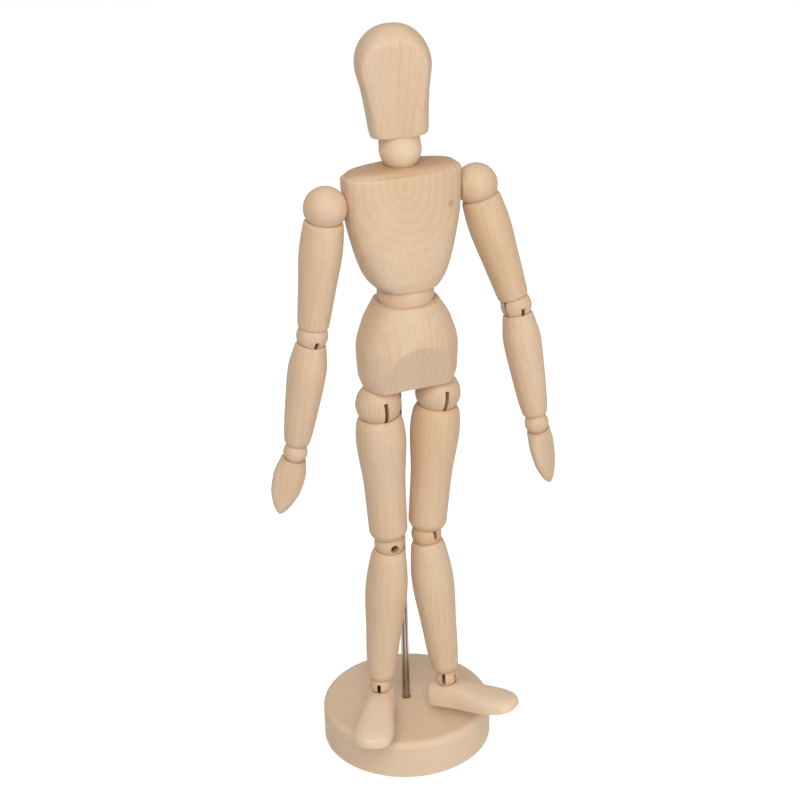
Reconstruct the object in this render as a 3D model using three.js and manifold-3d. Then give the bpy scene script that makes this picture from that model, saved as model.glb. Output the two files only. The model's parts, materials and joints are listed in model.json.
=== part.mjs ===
// Jointed wooden figure on a stand rod and a turned base.
// Millimetres, +Z up. The figure faces -Y, and the origin is the middle of the base's underside.
import * as THREE from "three";
import { mergeVertices } from "three/addons/utils/BufferGeometryUtils.js";
import Module from "manifold-3d";

const wasm = await Module();
wasm.setup();

// Fits
const CUP_GAP = 0.35; // ball to cup, block to block
const ROD_GAP = 0.3; // stand rod to its holes
const PIN_GAP = 0.2; // cross pin to its hole
const HOOK_GAP = 0.3; // spring hook to cross pin
const RIM_LIP = 0.5; // flat ring left round a cup

// Base and stand rod
const BASE_D = 71;
const BASE_T = 16.7;
const BASE_EDGE_R = 3;
const BASE_CHAMFER = 0.8;
const ROD_D = 3.2;
const ROD_IN_BASE = 12;
const ROD_IN_PELVIS = 23;
const ROD_BACK = 10.8; // rod's axis behind the line through the hips

// Stance
const SOLE_LIFT = 4; // lowest point of the feet above the base

// Balls
const WAIST_D = 22;
const NECK_D = 16;
const SHOULDER_D = 16.4;
const ELBOW_D = 12.2;
const WRIST_D = 9.6;
const HIP_D = 18;
const KNEE_D = 12.2;
const ANKLE_D = 9;
const LIMB_SEAT = 0.68; // distance of a limb's rim from the ball's centre, as a share of its radius
const ARM_SEAT = 0.63;
const ELBOW_SEAT = 0.57;
const KNEE_SEAT = 0.5;
const THIGH_SEAT = 0.59;
const PELVIS_SEAT = 0.82;
const WAIST_SEAT = 0.272;
const NECK_SEAT = 0.72;
const SLIT_W = 1.8; // saw slit that lets a spring swing
const SLIT_DOWN = 0.32; // middle of the slit's cut below the ball's centre, as a share of the diameter
const ARM_SLIT_DOWN = 0.55; // the same for the elbows and wrists
const KNEE_EYE_D = 3.4; // round hole opposite the right knee's slit
const KNEE_EYE_DOWN = 0.04; // hole below the ball's centre, as a share of the diameter

// Trunk
const PELVIS_W = 41;
const PELVIS_DEPTH = 31;
const PELVIS_H = 34.4;
const PELVIS_FACET_TOP = 0.58; // top of the flat at the lower front, as a share of the height
const PELVIS_FACET_IN = 6.2; // how far the flat cuts in at the bottom
const HIP_SPACING = 25.4;
const CHEST_W = 46;
const CHEST_DEPTH = 25.4;
const CHEST_H = 44.5; // lower rim to the crisp front edge
const CHEST_DOME = 2.2;
const SHOULDER_DROP = 10.2; // shoulder centre below the front edge
const SHOULDER_FLAT = 0.88; // flat of the shoulder ball from its centre, as a share of the radius

// Head and neck
const NECK_BARREL_D = 15.6;
const NECK_H = 6.4; // neck centre to the head's underside
const NECK_IN_HEAD = 2.6;
const HEAD_W = 28;
const HEAD_DEPTH = 29.6;
const HEAD_H = 39.8;
const FACE_TOP = 0.83; // top of the flat face, as a share of the head's height
const FACE_BACK = 8.9; // flat face in front of the neck's axis at the chin
const FACE_SLOPE = 3; // degrees that the flat leans forward at the top

// Limbs, measured between ball centres
const UPPER_ARM_L = 51;
const UPPER_ARM_D = 16.4;
const FOREARM_L = 49.5;
const FOREARM_D = 15;
const HAND_L = 28; // wrist centre to fingertip
const HAND_W = 12.8;
const HAND_T = 8;
const THIGH_L = 61.5;
const THIGH_D = 19.8;
const SHIN_L = 67.5;
const SHIN_D = 17.2;
const FOOT_W = 16.4;
const FOOT_TOE = 31; // ankle centre to toe
const FOOT_HEEL = 9; // ankle centre to heel
const ANKLE_H = 11.5; // ankle centre above the sole

// Outlines of the turned limbs: share of the way from the upper rim down, share of the full radius
const UPPER_ARM_GIRTH = [[0.04, 0.93], [0.26, 1], [0.62, 0.88], [0.95, 0.75]];
const FOREARM_GIRTH = [[0.05, 0.84], [0.25, 1], [0.55, 0.91], [0.95, 0.69]];
const THIGH_GIRTH = [[0.05, 0.94], [0.18, 1], [0.55, 0.84], [0.8, 0.8], [0.94, 0.78]];
const SHIN_GIRTH = [[0.05, 0.83], [0.3, 1], [0.62, 0.85], [0.95, 0.66]];

// Springs and cross pins
const WIRE_D = 0.45;
const COIL_R = 0.55; // to the middle of the wire
const PIN_D = 1.2;
const LIMB_PIN_HALF = 0.3; // half a pin's length, as a share of the piece's width
const HAND_PIN_HALF = 0.33;
const FOOT_PIN_HALF = 0.26;
const HEAD_PIN_HALF = 0.21;
const CHEST_PIN_HALF = 0.35; // share of the depth
const PELVIS_PIN_UP = 0.36; // a pin's height in its piece, as a share of the piece's height
const HEAD_PIN_UP = 0.36;
const HAND_PIN_DOWN = 0.42;
const FOOT_PIN_DOWN = 0.66;
const BORE_R = 1.8;
const BALL_MOUTH_R = 2.6; // a ball's hole widens to this at both ends, so that the spring can lean
const CHEST_BORE_R = 2.6;
const HOOK_STEP = 1; // distance between the hooks of two springs on one pin
const HOOK_SHIFT = 0.5; // a hook's place beside the middle of its pin, in those steps
const SHOULDER_HOOK_SHIFT = 1.5;
const CURL_STEPS = 8;
const WIRE_SIDES = 5;
const LONG_SPRING = { reach: 7.5, curls: 5 };
const SHORT_SPRING = { reach: 4.5, curls: 3 };

// Rest pose in degrees
const CHEST_LEAN = -1.5; // backwards
const NECK_ROLL = -3; // to its right
const HEAD_TURN = -18; // to its right
const REST = {
  right: {
    side: -1,
    arm: { swing: 5.5, raise: 7, elbowRoll: 2.4, elbowBend: 0, wristTurn: -12, wristRoll: 5.5, wristBend: 0 },
    leg: { spread: -2.2, swing: -1, kneeTurn: 0, kneeRoll: 6.6, kneeBend: 3 },
    foot: { turn: -30, roll: -4.5, tilt: -1 },
  },
  left: {
    side: 1,
    arm: { swing: -7, raise: -15, elbowRoll: 8.6, elbowBend: 0, wristTurn: 28, wristRoll: -8, wristBend: -3 },
    leg: { spread: 6.3, swing: -1, kneeTurn: -24, kneeRoll: -11.3, kneeBend: 1.2 },
    foot: { turn: 60.5, roll: 2, tilt: -5 },
  },
};

// Joint ranges in degrees from the rest pose
const RANGE = {
  figure_turn: [-180, 180],
  waist_lean: [-14, 14],
  chest_turn: [-60, 60],
  neck_nod: [-14, 14],
  head_turn: [-80, 80],
  arm_swing: [-100, 100],
  arm_raise: [-5, 70],
  elbow_turn: [-90, 90],
  elbow_bend: [0, 60],
  wrist_turn: [-90, 90],
  wrist_bend: [-60, 40],
  leg_spread: [0, 40],
  right_leg_swing: [-20, 70],
  left_leg_swing: [-4, 70], // the knee stands in front of the rod
  knee_turn: [-40, 40],
  knee_bend: [0, 50],
  ankle_turn: [-40, 40],
  foot_tilt: [-5, 25],
};

const SEGMENTS = 14;
const FINE_SEGMENTS = 18;
const TRUNK_SEGMENTS = 20;
const BASE_SEGMENTS = 36;
const PIN_SEGMENTS = 8;
const ROD_SEGMENTS = 12;
const CUP_STEPS = 3;
const EDGE_STEPS = 3;
const NECK_STEPS = 7;
const WOOD = { color: 0xdcb994, roughness: 0.6 };
const STEEL = { color: 0x9a8f84, roughness: 0.3, metalness: 1 };

const X = new THREE.Vector3(1, 0, 0);
const Y = new THREE.Vector3(0, 1, 0);
const Z = new THREE.Vector3(0, 0, 1);
const radians = THREE.MathUtils.degToRad;
const at = (x, y, z) => new THREE.Vector3(x, y, z);

// A closed geometry as a solid for cutting
function solid(geometry) {
  const bare = new THREE.BufferGeometry();
  bare.setAttribute("position", geometry.getAttribute("position"));
  bare.setIndex(geometry.index);
  const merged = mergeVertices(bare, 1e-4);
  const vertProperties = new Float32Array(merged.attributes.position.array);
  const triVerts = new Uint32Array(merged.index.array);
  return new wasm.Manifold(new wasm.Mesh({ numProp: 3, vertProperties, triVerts }));
}

// A solid as a named mesh of its own material
function piece(name, made, look) {
  const raw = made.getMesh();
  const geometry = new THREE.BufferGeometry();
  geometry.setAttribute("position", new THREE.BufferAttribute(raw.vertProperties, 3));
  geometry.setIndex(new THREE.BufferAttribute(raw.triVerts, 1));
  const mesh = new THREE.Mesh(geometry, new THREE.MeshStandardMaterial(look));
  mesh.name = name;
  return mesh;
}

// A profile of [radius, height] turned about Z
function turned(profile, segments = SEGMENTS) {
  const points = profile.map(([r, z]) => new THREE.Vector2(r, z));
  return solid(new THREE.LatheGeometry(points, segments).rotateX(Math.PI / 2));
}

// Profile points on a circle round [0, z], angles from the top
function arc(radius, from, to, steps, z = 0) {
  return Array.from({ length: steps + 1 }, (_, i) => {
    const angle = from + ((to - from) * i) / steps;
    return [radius * Math.sin(angle), z + radius * Math.cos(angle)];
  });
}

// A straight round bar between two points
function bar(radius, from, to, segments = PIN_SEGMENTS) {
  const along = to.clone().sub(from);
  const geometry = new THREE.CylinderGeometry(radius, radius, along.length(), segments);
  const turn = new THREE.Quaternion().setFromUnitVectors(Y, along.clone().normalize());
  geometry.applyQuaternion(turn).translate(...from.clone().add(to).multiplyScalar(0.5));
  return solid(geometry);
}

// A block given by its size and middle
function block(size, middle) {
  return solid(new THREE.BoxGeometry(...size).translate(...middle));
}

function ballAt(radius, place, segments = FINE_SEGMENTS) {
  const rings = segments / 2;
  return turned(arc(radius, Math.PI, 0, rings), segments).translate(place.toArray());
}

// Stacked rings of points, closed by a flat face at each end
function loft(rings) {
  const count = rings[0].length;
  const points = rings.flat();
  const index = [];
  for (let r = 0; r + 1 < rings.length; r++) {
    for (let k = 0; k < count; k++) {
      const a = r * count + k;
      const b = r * count + ((k + 1) % count);
      index.push(a, b, b + count, a, b + count, a + count);
    }
  }
  const last = (rings.length - 1) * count;
  for (let k = 1; k + 1 < count; k++) {
    index.push(0, k + 1, k, last, last + k, last + k + 1);
  }
  const geometry = new THREE.BufferGeometry().setFromPoints(points).setIndex(index);
  return solid(geometry);
}

// A level ring, half as wide as a and half as deep as b, squarer for a higher power
function oval(z, a, b, power = 2, segments = FINE_SEGMENTS) {
  return Array.from({ length: segments }, (_, k) => {
    const angle = (2 * Math.PI * k) / segments;
    const c = Math.cos(angle);
    const s = Math.sin(angle);
    const x = a * Math.sign(c) * Math.abs(c) ** (2 / power);
    return at(x, b * Math.sign(s) * Math.abs(s) ** (2 / power), z);
  });
}

const chord = (radius, distance) => Math.sqrt(radius ** 2 - distance ** 2);

// A ball with a hole along Z that widens to both ends
function boredBall(diameter, segments = SEGMENTS) {
  const radius = diameter / 2;
  const open = Math.asin(BALL_MOUTH_R / radius);
  const skin = arc(radius, Math.PI - open, open, segments / 2 - 2);
  return turned([...skin, [BORE_R, 0], skin[0]], segments);
}

// The saw slit in a ball's lower half, towards +Y or -Y
function slit(diameter, towards, down = SLIT_DOWN) {
  return block([SLIT_W, diameter, diameter], at(0, (towards * diameter) / 2, -down * diameter));
}

// A turned limb that hangs from a ball at the origin to a ball a length below
function turnedLimb(length, width, girth, top, bottom, segments = SEGMENTS) {
  const [topCup, lowCup] = [top.diameter / 2 + CUP_GAP, bottom.diameter / 2 + CUP_GAP];
  const topSeat = (top.seat * top.diameter) / 2;
  const lowSeat = (bottom.seat * bottom.diameter) / 2;
  const span = length - topSeat - lowSeat;
  const rimTop = [chord(topCup, topSeat) + RIM_LIP, -topSeat];
  const rimLow = [chord(lowCup, lowSeat) + RIM_LIP, lowSeat - length];
  const sides = girth.map(([down, share]) => [(share * width) / 2, -topSeat - down * span]);
  const topRimAngle = Math.PI - Math.acos(topSeat / topCup);
  const topBoreAngle = Math.PI - Math.asin(BORE_R / topCup);
  const cupTop = arc(topCup, topRimAngle, topBoreAngle, CUP_STEPS);
  const lowBoreAngle = Math.asin(BORE_R / lowCup);
  const lowRimAngle = Math.acos(lowSeat / lowCup);
  const cupLow = arc(lowCup, lowBoreAngle, lowRimAngle, CUP_STEPS, -length);
  return turned([rimLow, ...sides.reverse(), rimTop, ...cupTop, ...cupLow, rimLow], segments);
}

// A cross pin, and its hole that is open at one end
const pinHole = (from, to) => bar(PIN_D / 2 + PIN_GAP, from, to);

function crossPin(name, parent, middle, axis, length) {
  const half = axis.clone().multiplyScalar(length / 2);
  const mesh = piece(name, bar(PIN_D / 2, half.clone().negate(), half), STEEL);
  mesh.position.copy(middle);
  mesh.userData.axis = axis;
  parent.add(mesh);
  return mesh;
}

// A moving group: its place and rest turns in its parent, and the hinge that carries it
function body(name, parent, place, turns, hinge) {
  const group = new THREE.Group();
  group.name = name;
  group.position.copy(place);
  for (const [axis, angle] of turns) {
    group.rotateOnAxis(axis, radians(angle));
  }
  group.userData = { hinge };
  parent.add(group);
  return group;
}

function hinge(joint, axis) {
  const shared = joint.replace(/^(right|left)_/, "");
  return { joint, axis, range: RANGE[joint] ?? RANGE[shared] };
}

// A tube of the wire along a path
function tube(path, radius, sides) {
  const rings = [];
  let out = Math.abs(path[1].clone().sub(path[0]).normalize().z) > 0.9 ? X.clone() : Z.clone();
  path.forEach((point, i) => {
    const next = path[Math.min(i + 1, path.length - 1)];
    const along = next.clone().sub(path[Math.max(i - 1, 0)]).normalize();
    out = out.clone().addScaledVector(along, -out.dot(along)).normalize();
    const across = along.clone().cross(out);
    const ring = Array.from({ length: sides }, (_, k) => {
      const angle = (2 * Math.PI * k) / sides;
      const offset = out.clone().multiplyScalar(Math.cos(angle)).addScaledVector(across, Math.sin(angle));
      return point.clone().addScaledVector(offset, radius);
    });
    rings.push(ring);
  });
  return loft(rings);
}

const HOOK_R = PIN_D / 2 + HOOK_GAP + WIRE_D / 2;
const HOOK_ANGLES = [-20, 35, 90, 140, 180];

// The hook over a pin, from its free end, and the side of the bore where it leaves the pin
function hook(pin, centre, shift) {
  const axis = pin.userData.axis.clone().transformDirection(pin.matrixWorld);
  const middle = pin.getWorldPosition(new THREE.Vector3());
  const along = centre.clone().sub(middle).dot(axis);
  const seat = middle.clone().addScaledVector(axis, along);
  const pull = seat.clone().sub(centre).normalize();
  const side = axis.clone().cross(pull).normalize();
  const hung = seat.clone().addScaledVector(axis, shift * HOOK_STEP);
  const points = HOOK_ANGLES.map((angle) => {
    const c = Math.cos(radians(angle)) * HOOK_R;
    const s = Math.sin(radians(angle)) * HOOK_R;
    return hung.clone().addScaledVector(side, c).addScaledVector(pull, s);
  });
  return { points, pull, side: side.negate() };
}

// A tension spring from pin to pin through a ball's centre, curled where it passes the ball
function springPath(centre, upper, lower, { reach, curls }) {
  const ends = [upper, lower].map(({ pull }) => centre.clone().addScaledVector(pull, reach));
  const line = new THREE.QuadraticBezierCurve3(ends[0], centre, ends[1]);
  const steps = curls * CURL_STEPS;
  const coil = [];
  let out = upper.side;
  for (let i = 0; i <= steps; i++) {
    const along = line.getTangent(i / steps);
    out = out.clone().addScaledVector(along, -out.dot(along)).normalize();
    const angle = (2 * Math.PI * i) / CURL_STEPS;
    const offset = out.clone().applyAxisAngle(along, angle);
    coil.push(line.getPoint(i / steps).addScaledVector(offset, COIL_R));
  }
  return [...upper.points, ...coil, ...lower.points.reverse()];
}

// Least gap of a wire to itself, on points more than half a curl apart
function ownGap(path) {
  let least = Infinity;
  path.forEach((a, i) => {
    for (const b of path.slice(i + CURL_STEPS / 2 + 1)) {
      least = Math.min(least, a.distanceTo(b) - WIRE_D);
    }
  });
  return least;
}

const springGaps = [];

function spring(name, ballGroup, upperPin, lowerPin, shifts, size) {
  const centre = ballGroup.getWorldPosition(new THREE.Vector3());
  const upper = hook(upperPin, centre, shifts[0]);
  const lower = hook(lowerPin, centre, shifts[1]);
  const path = springPath(centre, upper, lower, size);
  springGaps.push(ownGap(path));
  const mesh = piece(name, tube(path, WIRE_D / 2, WIRE_SIDES), STEEL);
  mesh.applyMatrix4(ballGroup.matrixWorld.clone().invert());
  ballGroup.add(mesh);
}

// Base
function baseSolid() {
  const radius = BASE_D / 2;
  const edge = arc(BASE_EDGE_R, Math.PI / 2, 0, EDGE_STEPS).map(([r, z]) => [
    radius - BASE_EDGE_R + r,
    BASE_T - BASE_EDGE_R + z,
  ]);
  const floor = BASE_T - ROD_IN_BASE;
  const hole = ROD_D / 2 + ROD_GAP;
  const foot = [[0, 0], [radius - BASE_CHAMFER, 0], [radius, BASE_CHAMFER]];
  return turned([...foot, ...edge, [hole, BASE_T], [hole, floor], [0, floor]], BASE_SEGMENTS);
}

// Pelvis: frame at the middle of the hip line
const PELVIS_LOW = (PELVIS_SEAT * HIP_D) / 2;
const PELVIS_TOP = PELVIS_LOW + PELVIS_H;
const WAIST_Z = PELVIS_TOP + (WAIST_SEAT * WAIST_D) / 2;
const PELVIS_PIN_Z = PELVIS_LOW + PELVIS_PIN_UP * PELVIS_H;

// Outlines of the trunk: share of the height, shares of half the width and half the depth
const PELVIS_OUTLINE = [
  [0, 0.88, 0.87], [0.15, 0.96, 0.94], [0.45, 0.98, 1], [0.75, 0.85, 0.93], [1, 0.61, 0.8],
];
const CHEST_OUTLINE = [
  [0, 0.52, 0.93], [0.07, 0.64, 0.97], [0.17, 0.74, 0.98], [0.4, 0.88, 0.95], [0.65, 0.98, 0.89], [1, 1.03, 0.81],
];
const DOME_OUTLINE = [[0.55, 0.93, 0.71], [0.9, 0.72, 0.61], [1, 0.45, 0.55]];
const PELVIS_SQUARE = 2.2; // power of the rings
const CHEST_SQUARE = 2.6;

function pelvisSolid() {
  const [a, b] = [PELVIS_W / 2, PELVIS_DEPTH / 2];
  const rings = PELVIS_OUTLINE.map(([up, w, d]) =>
    oval(PELVIS_LOW + up * PELVIS_H, w * a, d * b, PELVIS_SQUARE, TRUNK_SEGMENTS),
  );
  const facetH = PELVIS_FACET_TOP * PELVIS_H;
  const facetTip = THREE.MathUtils.radToDeg(Math.atan(PELVIS_FACET_IN / facetH));
  const facetBlock = [PELVIS_W, PELVIS_DEPTH, 3 * PELVIS_H];
  const facetMiddle = at(0, -PELVIS_DEPTH / 2, 0);
  const facet = block(facetBlock, facetMiddle)
    .rotate([facetTip, 0, 0])
    .translate([0, -b, PELVIS_LOW + facetH]);
  const pinEnd = at(-a, 0, PELVIS_PIN_Z);
  let made = loft(rings).subtract(facet);
  made = made.subtract(ballAt(WAIST_D / 2 + CUP_GAP, at(0, 0, WAIST_Z), TRUNK_SEGMENTS));
  made = made.subtract(bar(BORE_R, at(0, 0, PELVIS_PIN_Z - 2 * BORE_R), at(0, 0, PELVIS_TOP)));
  for (const x of [-HIP_SPACING / 2, HIP_SPACING / 2]) {
    made = made.subtract(ballAt(HIP_D / 2 + CUP_GAP, at(x, 0, 0)));
    made = made.subtract(bar(BORE_R, at(x, 0, 0), at(x, 0, PELVIS_PIN_Z + 2 * BORE_R)));
  }
  const rodTop = PELVIS_LOW + ROD_IN_PELVIS + ROD_GAP;
  made = made.subtract(bar(ROD_D / 2 + ROD_GAP, at(0, ROD_BACK, 0), at(0, ROD_BACK, rodTop), ROD_SEGMENTS));
  return made.subtract(pinHole(pinEnd, at(HIP_SPACING / 2 + 2 * PIN_D, 0, PELVIS_PIN_Z)));
}

// Chest: frame at the waist ball's centre
const CHEST_LOW = (WAIST_SEAT * WAIST_D) / 2;
const CHEST_EDGE = CHEST_LOW + CHEST_H;
const CHEST_TOP = CHEST_EDGE + CHEST_DOME;
const SHOULDER_Z = CHEST_EDGE - SHOULDER_DROP;
const SHOULDER_X = CHEST_W / 2 + CUP_GAP + (SHOULDER_FLAT * SHOULDER_D) / 2;
const NECK_Z = CHEST_TOP + (NECK_SEAT * NECK_D) / 2;

function chestSolid() {
  const [a, b] = [CHEST_W / 2, CHEST_DEPTH / 2];
  const rise = CHEST_OUTLINE.map(([up, w, d]) =>
    oval(CHEST_LOW + up * CHEST_H, w * a, d * b, CHEST_SQUARE, TRUNK_SEGMENTS),
  );
  const dome = DOME_OUTLINE.map(([up, w, d]) =>
    oval(CHEST_EDGE + up * CHEST_DOME, w * a, d * b, PELVIS_SQUARE, TRUNK_SEGMENTS),
  );
  const back = at(0, CHEST_DEPTH, SHOULDER_Z);
  let made = loft([...rise, ...dome]);
  for (const side of [-1, 1]) {
    made = made.subtract(block([a, 2 * CHEST_DEPTH, 2 * CHEST_TOP], at(side * 1.5 * a, 0, SHOULDER_Z)));
  }
  made = made.subtract(ballAt(WAIST_D / 2 + CUP_GAP, at(0, 0, 0), TRUNK_SEGMENTS));
  made = made.subtract(ballAt(NECK_D / 2 + CUP_GAP, at(0, 0, NECK_Z)));
  made = made.subtract(bar(CHEST_BORE_R, at(0, 0, 0), at(0, 0, NECK_Z)));
  made = made.subtract(bar(CHEST_BORE_R, at(-a - 1, 0, SHOULDER_Z), at(a + 1, 0, SHOULDER_Z)));
  return made.subtract(pinHole(at(0, -CHEST_PIN_HALF * CHEST_DEPTH - PIN_GAP, SHOULDER_Z), back));
}

// Neck: a ball below, a barrel above that turns in the head
function neckSolid() {
  const [ball, barrel] = [NECK_D / 2, NECK_BARREL_D / 2];
  const open = Math.asin(BORE_R / ball);
  const skin = arc(ball, Math.PI - open, Math.asin(barrel / ball), NECK_STEPS);
  const top = NECK_H + NECK_IN_HEAD - CUP_GAP;
  return turned([...skin, [barrel, top], [BORE_R, top], skin[0]], FINE_SEGMENTS);
}

// Head: frame at the middle of its underside
const HEAD_PIN_Z = HEAD_PIN_UP * HEAD_H;
const HEAD_SQUARE = 2.7;
const HEAD_OUTLINE = [
  [0, 0.77, 0.7], [0.03, 0.79, 0.75], [0.2, 0.83, 0.81], [0.42, 0.9, 0.92], [0.64, 1, 1],
  [0.8, 0.92, 0.92], [0.91, 0.7, 0.7], [0.98, 0.36, 0.36], [1, 0.1, 0.1],
];

function headSolid() {
  const [a, b] = [HEAD_W / 2, HEAD_DEPTH / 2];
  const rings = HEAD_OUTLINE.map(([up, w, d]) =>
    oval(up * HEAD_H, w * a, d * b, HEAD_SQUARE, TRUNK_SEGMENTS),
  );
  const face = block([2 * HEAD_W, HEAD_DEPTH, 2 * HEAD_H], at(0, -HEAD_DEPTH / 2, 0));
  const faceTop = FACE_TOP * HEAD_H;
  const brow = block([2 * HEAD_W, HEAD_DEPTH, HEAD_H], at(0, -HEAD_DEPTH / 2, faceTop + HEAD_H / 2));
  const cut = face.rotate([FACE_SLOPE, 0, 0]).translate([0, -FACE_BACK, 0]).subtract(brow);
  const barrel = NECK_BARREL_D / 2 + CUP_GAP;
  const pinStart = at(-a, 0, HEAD_PIN_Z);
  let made = loft(rings).subtract(cut);
  made = made.subtract(bar(barrel, at(0, 0, -NECK_IN_HEAD), at(0, 0, NECK_IN_HEAD), FINE_SEGMENTS));
  made = made.subtract(bar(BORE_R, at(0, 0, 0), at(0, 0, HEAD_PIN_Z + 2 * BORE_R)));
  return made.subtract(pinHole(pinStart, at(HEAD_PIN_HALF * HEAD_W + PIN_GAP, 0, HEAD_PIN_Z)));
}

// Shoulder ball: flat against the chest, slit below for the arm to lift sideways
function shoulderSolid(side) {
  const flat = (SHOULDER_FLAT * SHOULDER_D) / 2;
  const radius = SHOULDER_D / 2;
  const keep = block([SHOULDER_D, SHOULDER_D, SHOULDER_D], at(side * (radius - flat), 0, 0));
  const swing = block([radius, SLIT_W, radius], at((side * radius) / 2, 0, -radius / 2));
  const across = bar(BORE_R, at(-side * SHOULDER_D, 0, 0), at(0, 0, 0));
  return boredBall(SHOULDER_D, FINE_SEGMENTS)
    .intersect(keep)
    .subtract(swing)
    .subtract(across);
}

// Hand: a flat leaf below the wrist ball
const HAND_SQUARE = 2.2;
const HAND_OUTLINE = [
  [0, 0.8, 1.08], [0.3, 1, 0.9], [0.55, 0.93, 0.72], [0.82, 0.58, 0.5], [0.96, 0.24, 0.26], [1, 0.08, 0.1],
];

function handSolid() {
  const rim = (LIMB_SEAT * WRIST_D) / 2;
  const rings = HAND_OUTLINE.map(([down, w, d]) =>
    oval(-rim - down * (HAND_L - rim), (w * HAND_W) / 2, (d * HAND_T) / 2, HAND_SQUARE, SEGMENTS),
  );
  const pinZ = -HAND_PIN_DOWN * HAND_L;
  let made = loft(rings.reverse()).subtract(ballAt(WRIST_D / 2 + CUP_GAP, at(0, 0, 0), SEGMENTS));
  made = made.subtract(bar(BORE_R, at(0, 0, 0), at(0, 0, pinZ - 1.4 * BORE_R)));
  return made.subtract(pinHole(at(-HAND_PIN_HALF * HAND_W - PIN_GAP, 0, pinZ), at(HAND_W, 0, pinZ)));
}

// Foot: a flat sole, high at the ankle and broad at the toe. Each row: place from heel to toe,
// share of half the width, share of the ankle's height
const FOOT_OUTLINE = [
  [0, 0.5, 0.6], [0.05, 0.64, 0.76], [0.21, 0.72, 0.8], [0.36, 0.76, 0.78], [0.55, 0.9, 0.65],
  [0.76, 1, 0.51], [0.91, 0.86, 0.41], [0.98, 0.54, 0.32], [1, 0.26, 0.24],
];
const FOOT_ARCH_STEPS = 8;
const FOOT_SQUARE = 0.7; // power of the arch, squarer below 1

function footRing([along, w, h]) {
  const y = FOOT_HEEL - along * (FOOT_HEEL + FOOT_TOE);
  return Array.from({ length: FOOT_ARCH_STEPS + 1 }, (_, k) => {
    const angle = (Math.PI * k) / FOOT_ARCH_STEPS;
    const c = Math.cos(angle);
    const x = ((w * FOOT_W) / 2) * Math.sign(c) * Math.abs(c) ** FOOT_SQUARE;
    return at(x, y, -ANKLE_H + h * ANKLE_H * Math.sin(angle) ** FOOT_SQUARE);
  });
}

function footSolid() {
  const pinZ = -FOOT_PIN_DOWN * ANKLE_H;
  let made = loft(FOOT_OUTLINE.map(footRing));
  made = made.subtract(ballAt(ANKLE_D / 2 + CUP_GAP, at(0, 0, 0), SEGMENTS));
  made = made.subtract(bar(BORE_R, at(0, 0, 0), at(0, 0, pinZ - BORE_R)));
  return made.subtract(pinHole(at(-FOOT_PIN_HALF * FOOT_W - PIN_GAP, 0, pinZ), at(FOOT_W, 0, pinZ)));
}

// Knee ball: slit at the back, and in front of the right one a round hole
function kneeSolid(side) {
  const slitted = boredBall(KNEE_D).subtract(slit(KNEE_D, 1));
  const eyeZ = -KNEE_EYE_DOWN * KNEE_D;
  const eye = bar(KNEE_EYE_D / 2, at(0, 0, eyeZ), at(0, -KNEE_D, eyeZ));
  return side < 0 ? slitted.subtract(eye) : slitted;
}

// A turned limb with its cross pin half way down
function limbPiece(name, group, length, width, made) {
  const middle = -length / 2;
  const half = LIMB_PIN_HALF * width;
  const drilled = made.subtract(pinHole(at(0, -half - PIN_GAP, middle), at(0, width, middle)));
  group.add(piece(name, drilled, WOOD));
  return crossPin(name + "_pin", group, at(0, 0, middle), Y, 2 * half);
}

const root = new THREE.Group();
root.add(piece("base", baseSolid(), WOOD));

const figure = body("pelvis", root, at(0, -ROD_BACK, 0), [], hinge("figure_turn", Z));
figure.add(piece("pelvis", pelvisSolid(), WOOD));
const pelvisPin = crossPin("pelvis_pin", figure, at(0, 0, PELVIS_PIN_Z), X, HIP_SPACING + 2 * PIN_D);

const waistLean = hinge("waist_lean", X);
const waist = body("waist_ball", figure, at(0, 0, WAIST_Z), [[X, CHEST_LEAN]], waistLean);
waist.add(piece("waist_ball", boredBall(WAIST_D, TRUNK_SEGMENTS), WOOD));

const chest = body("chest", waist, at(0, 0, 0), [], hinge("chest_turn", Z));
chest.add(piece("chest", chestSolid(), WOOD));
const chestPin = crossPin("chest_pin", chest, at(0, 0, SHOULDER_Z), Y, 2 * CHEST_PIN_HALF * CHEST_DEPTH);

const neck = body("neck", chest, at(0, 0, NECK_Z), [[Y, NECK_ROLL]], hinge("neck_nod", X));
neck.add(piece("neck", neckSolid(), WOOD));

const head = body("head", neck, at(0, 0, NECK_H), [[Z, HEAD_TURN]], hinge("head_turn", Z));
head.add(piece("head", headSolid(), WOOD));
const headPin = crossPin("head_pin", head, at(0, 0, HEAD_PIN_Z), X, 2 * HEAD_PIN_HALF * HEAD_W);

const limbSprings = [];

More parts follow.
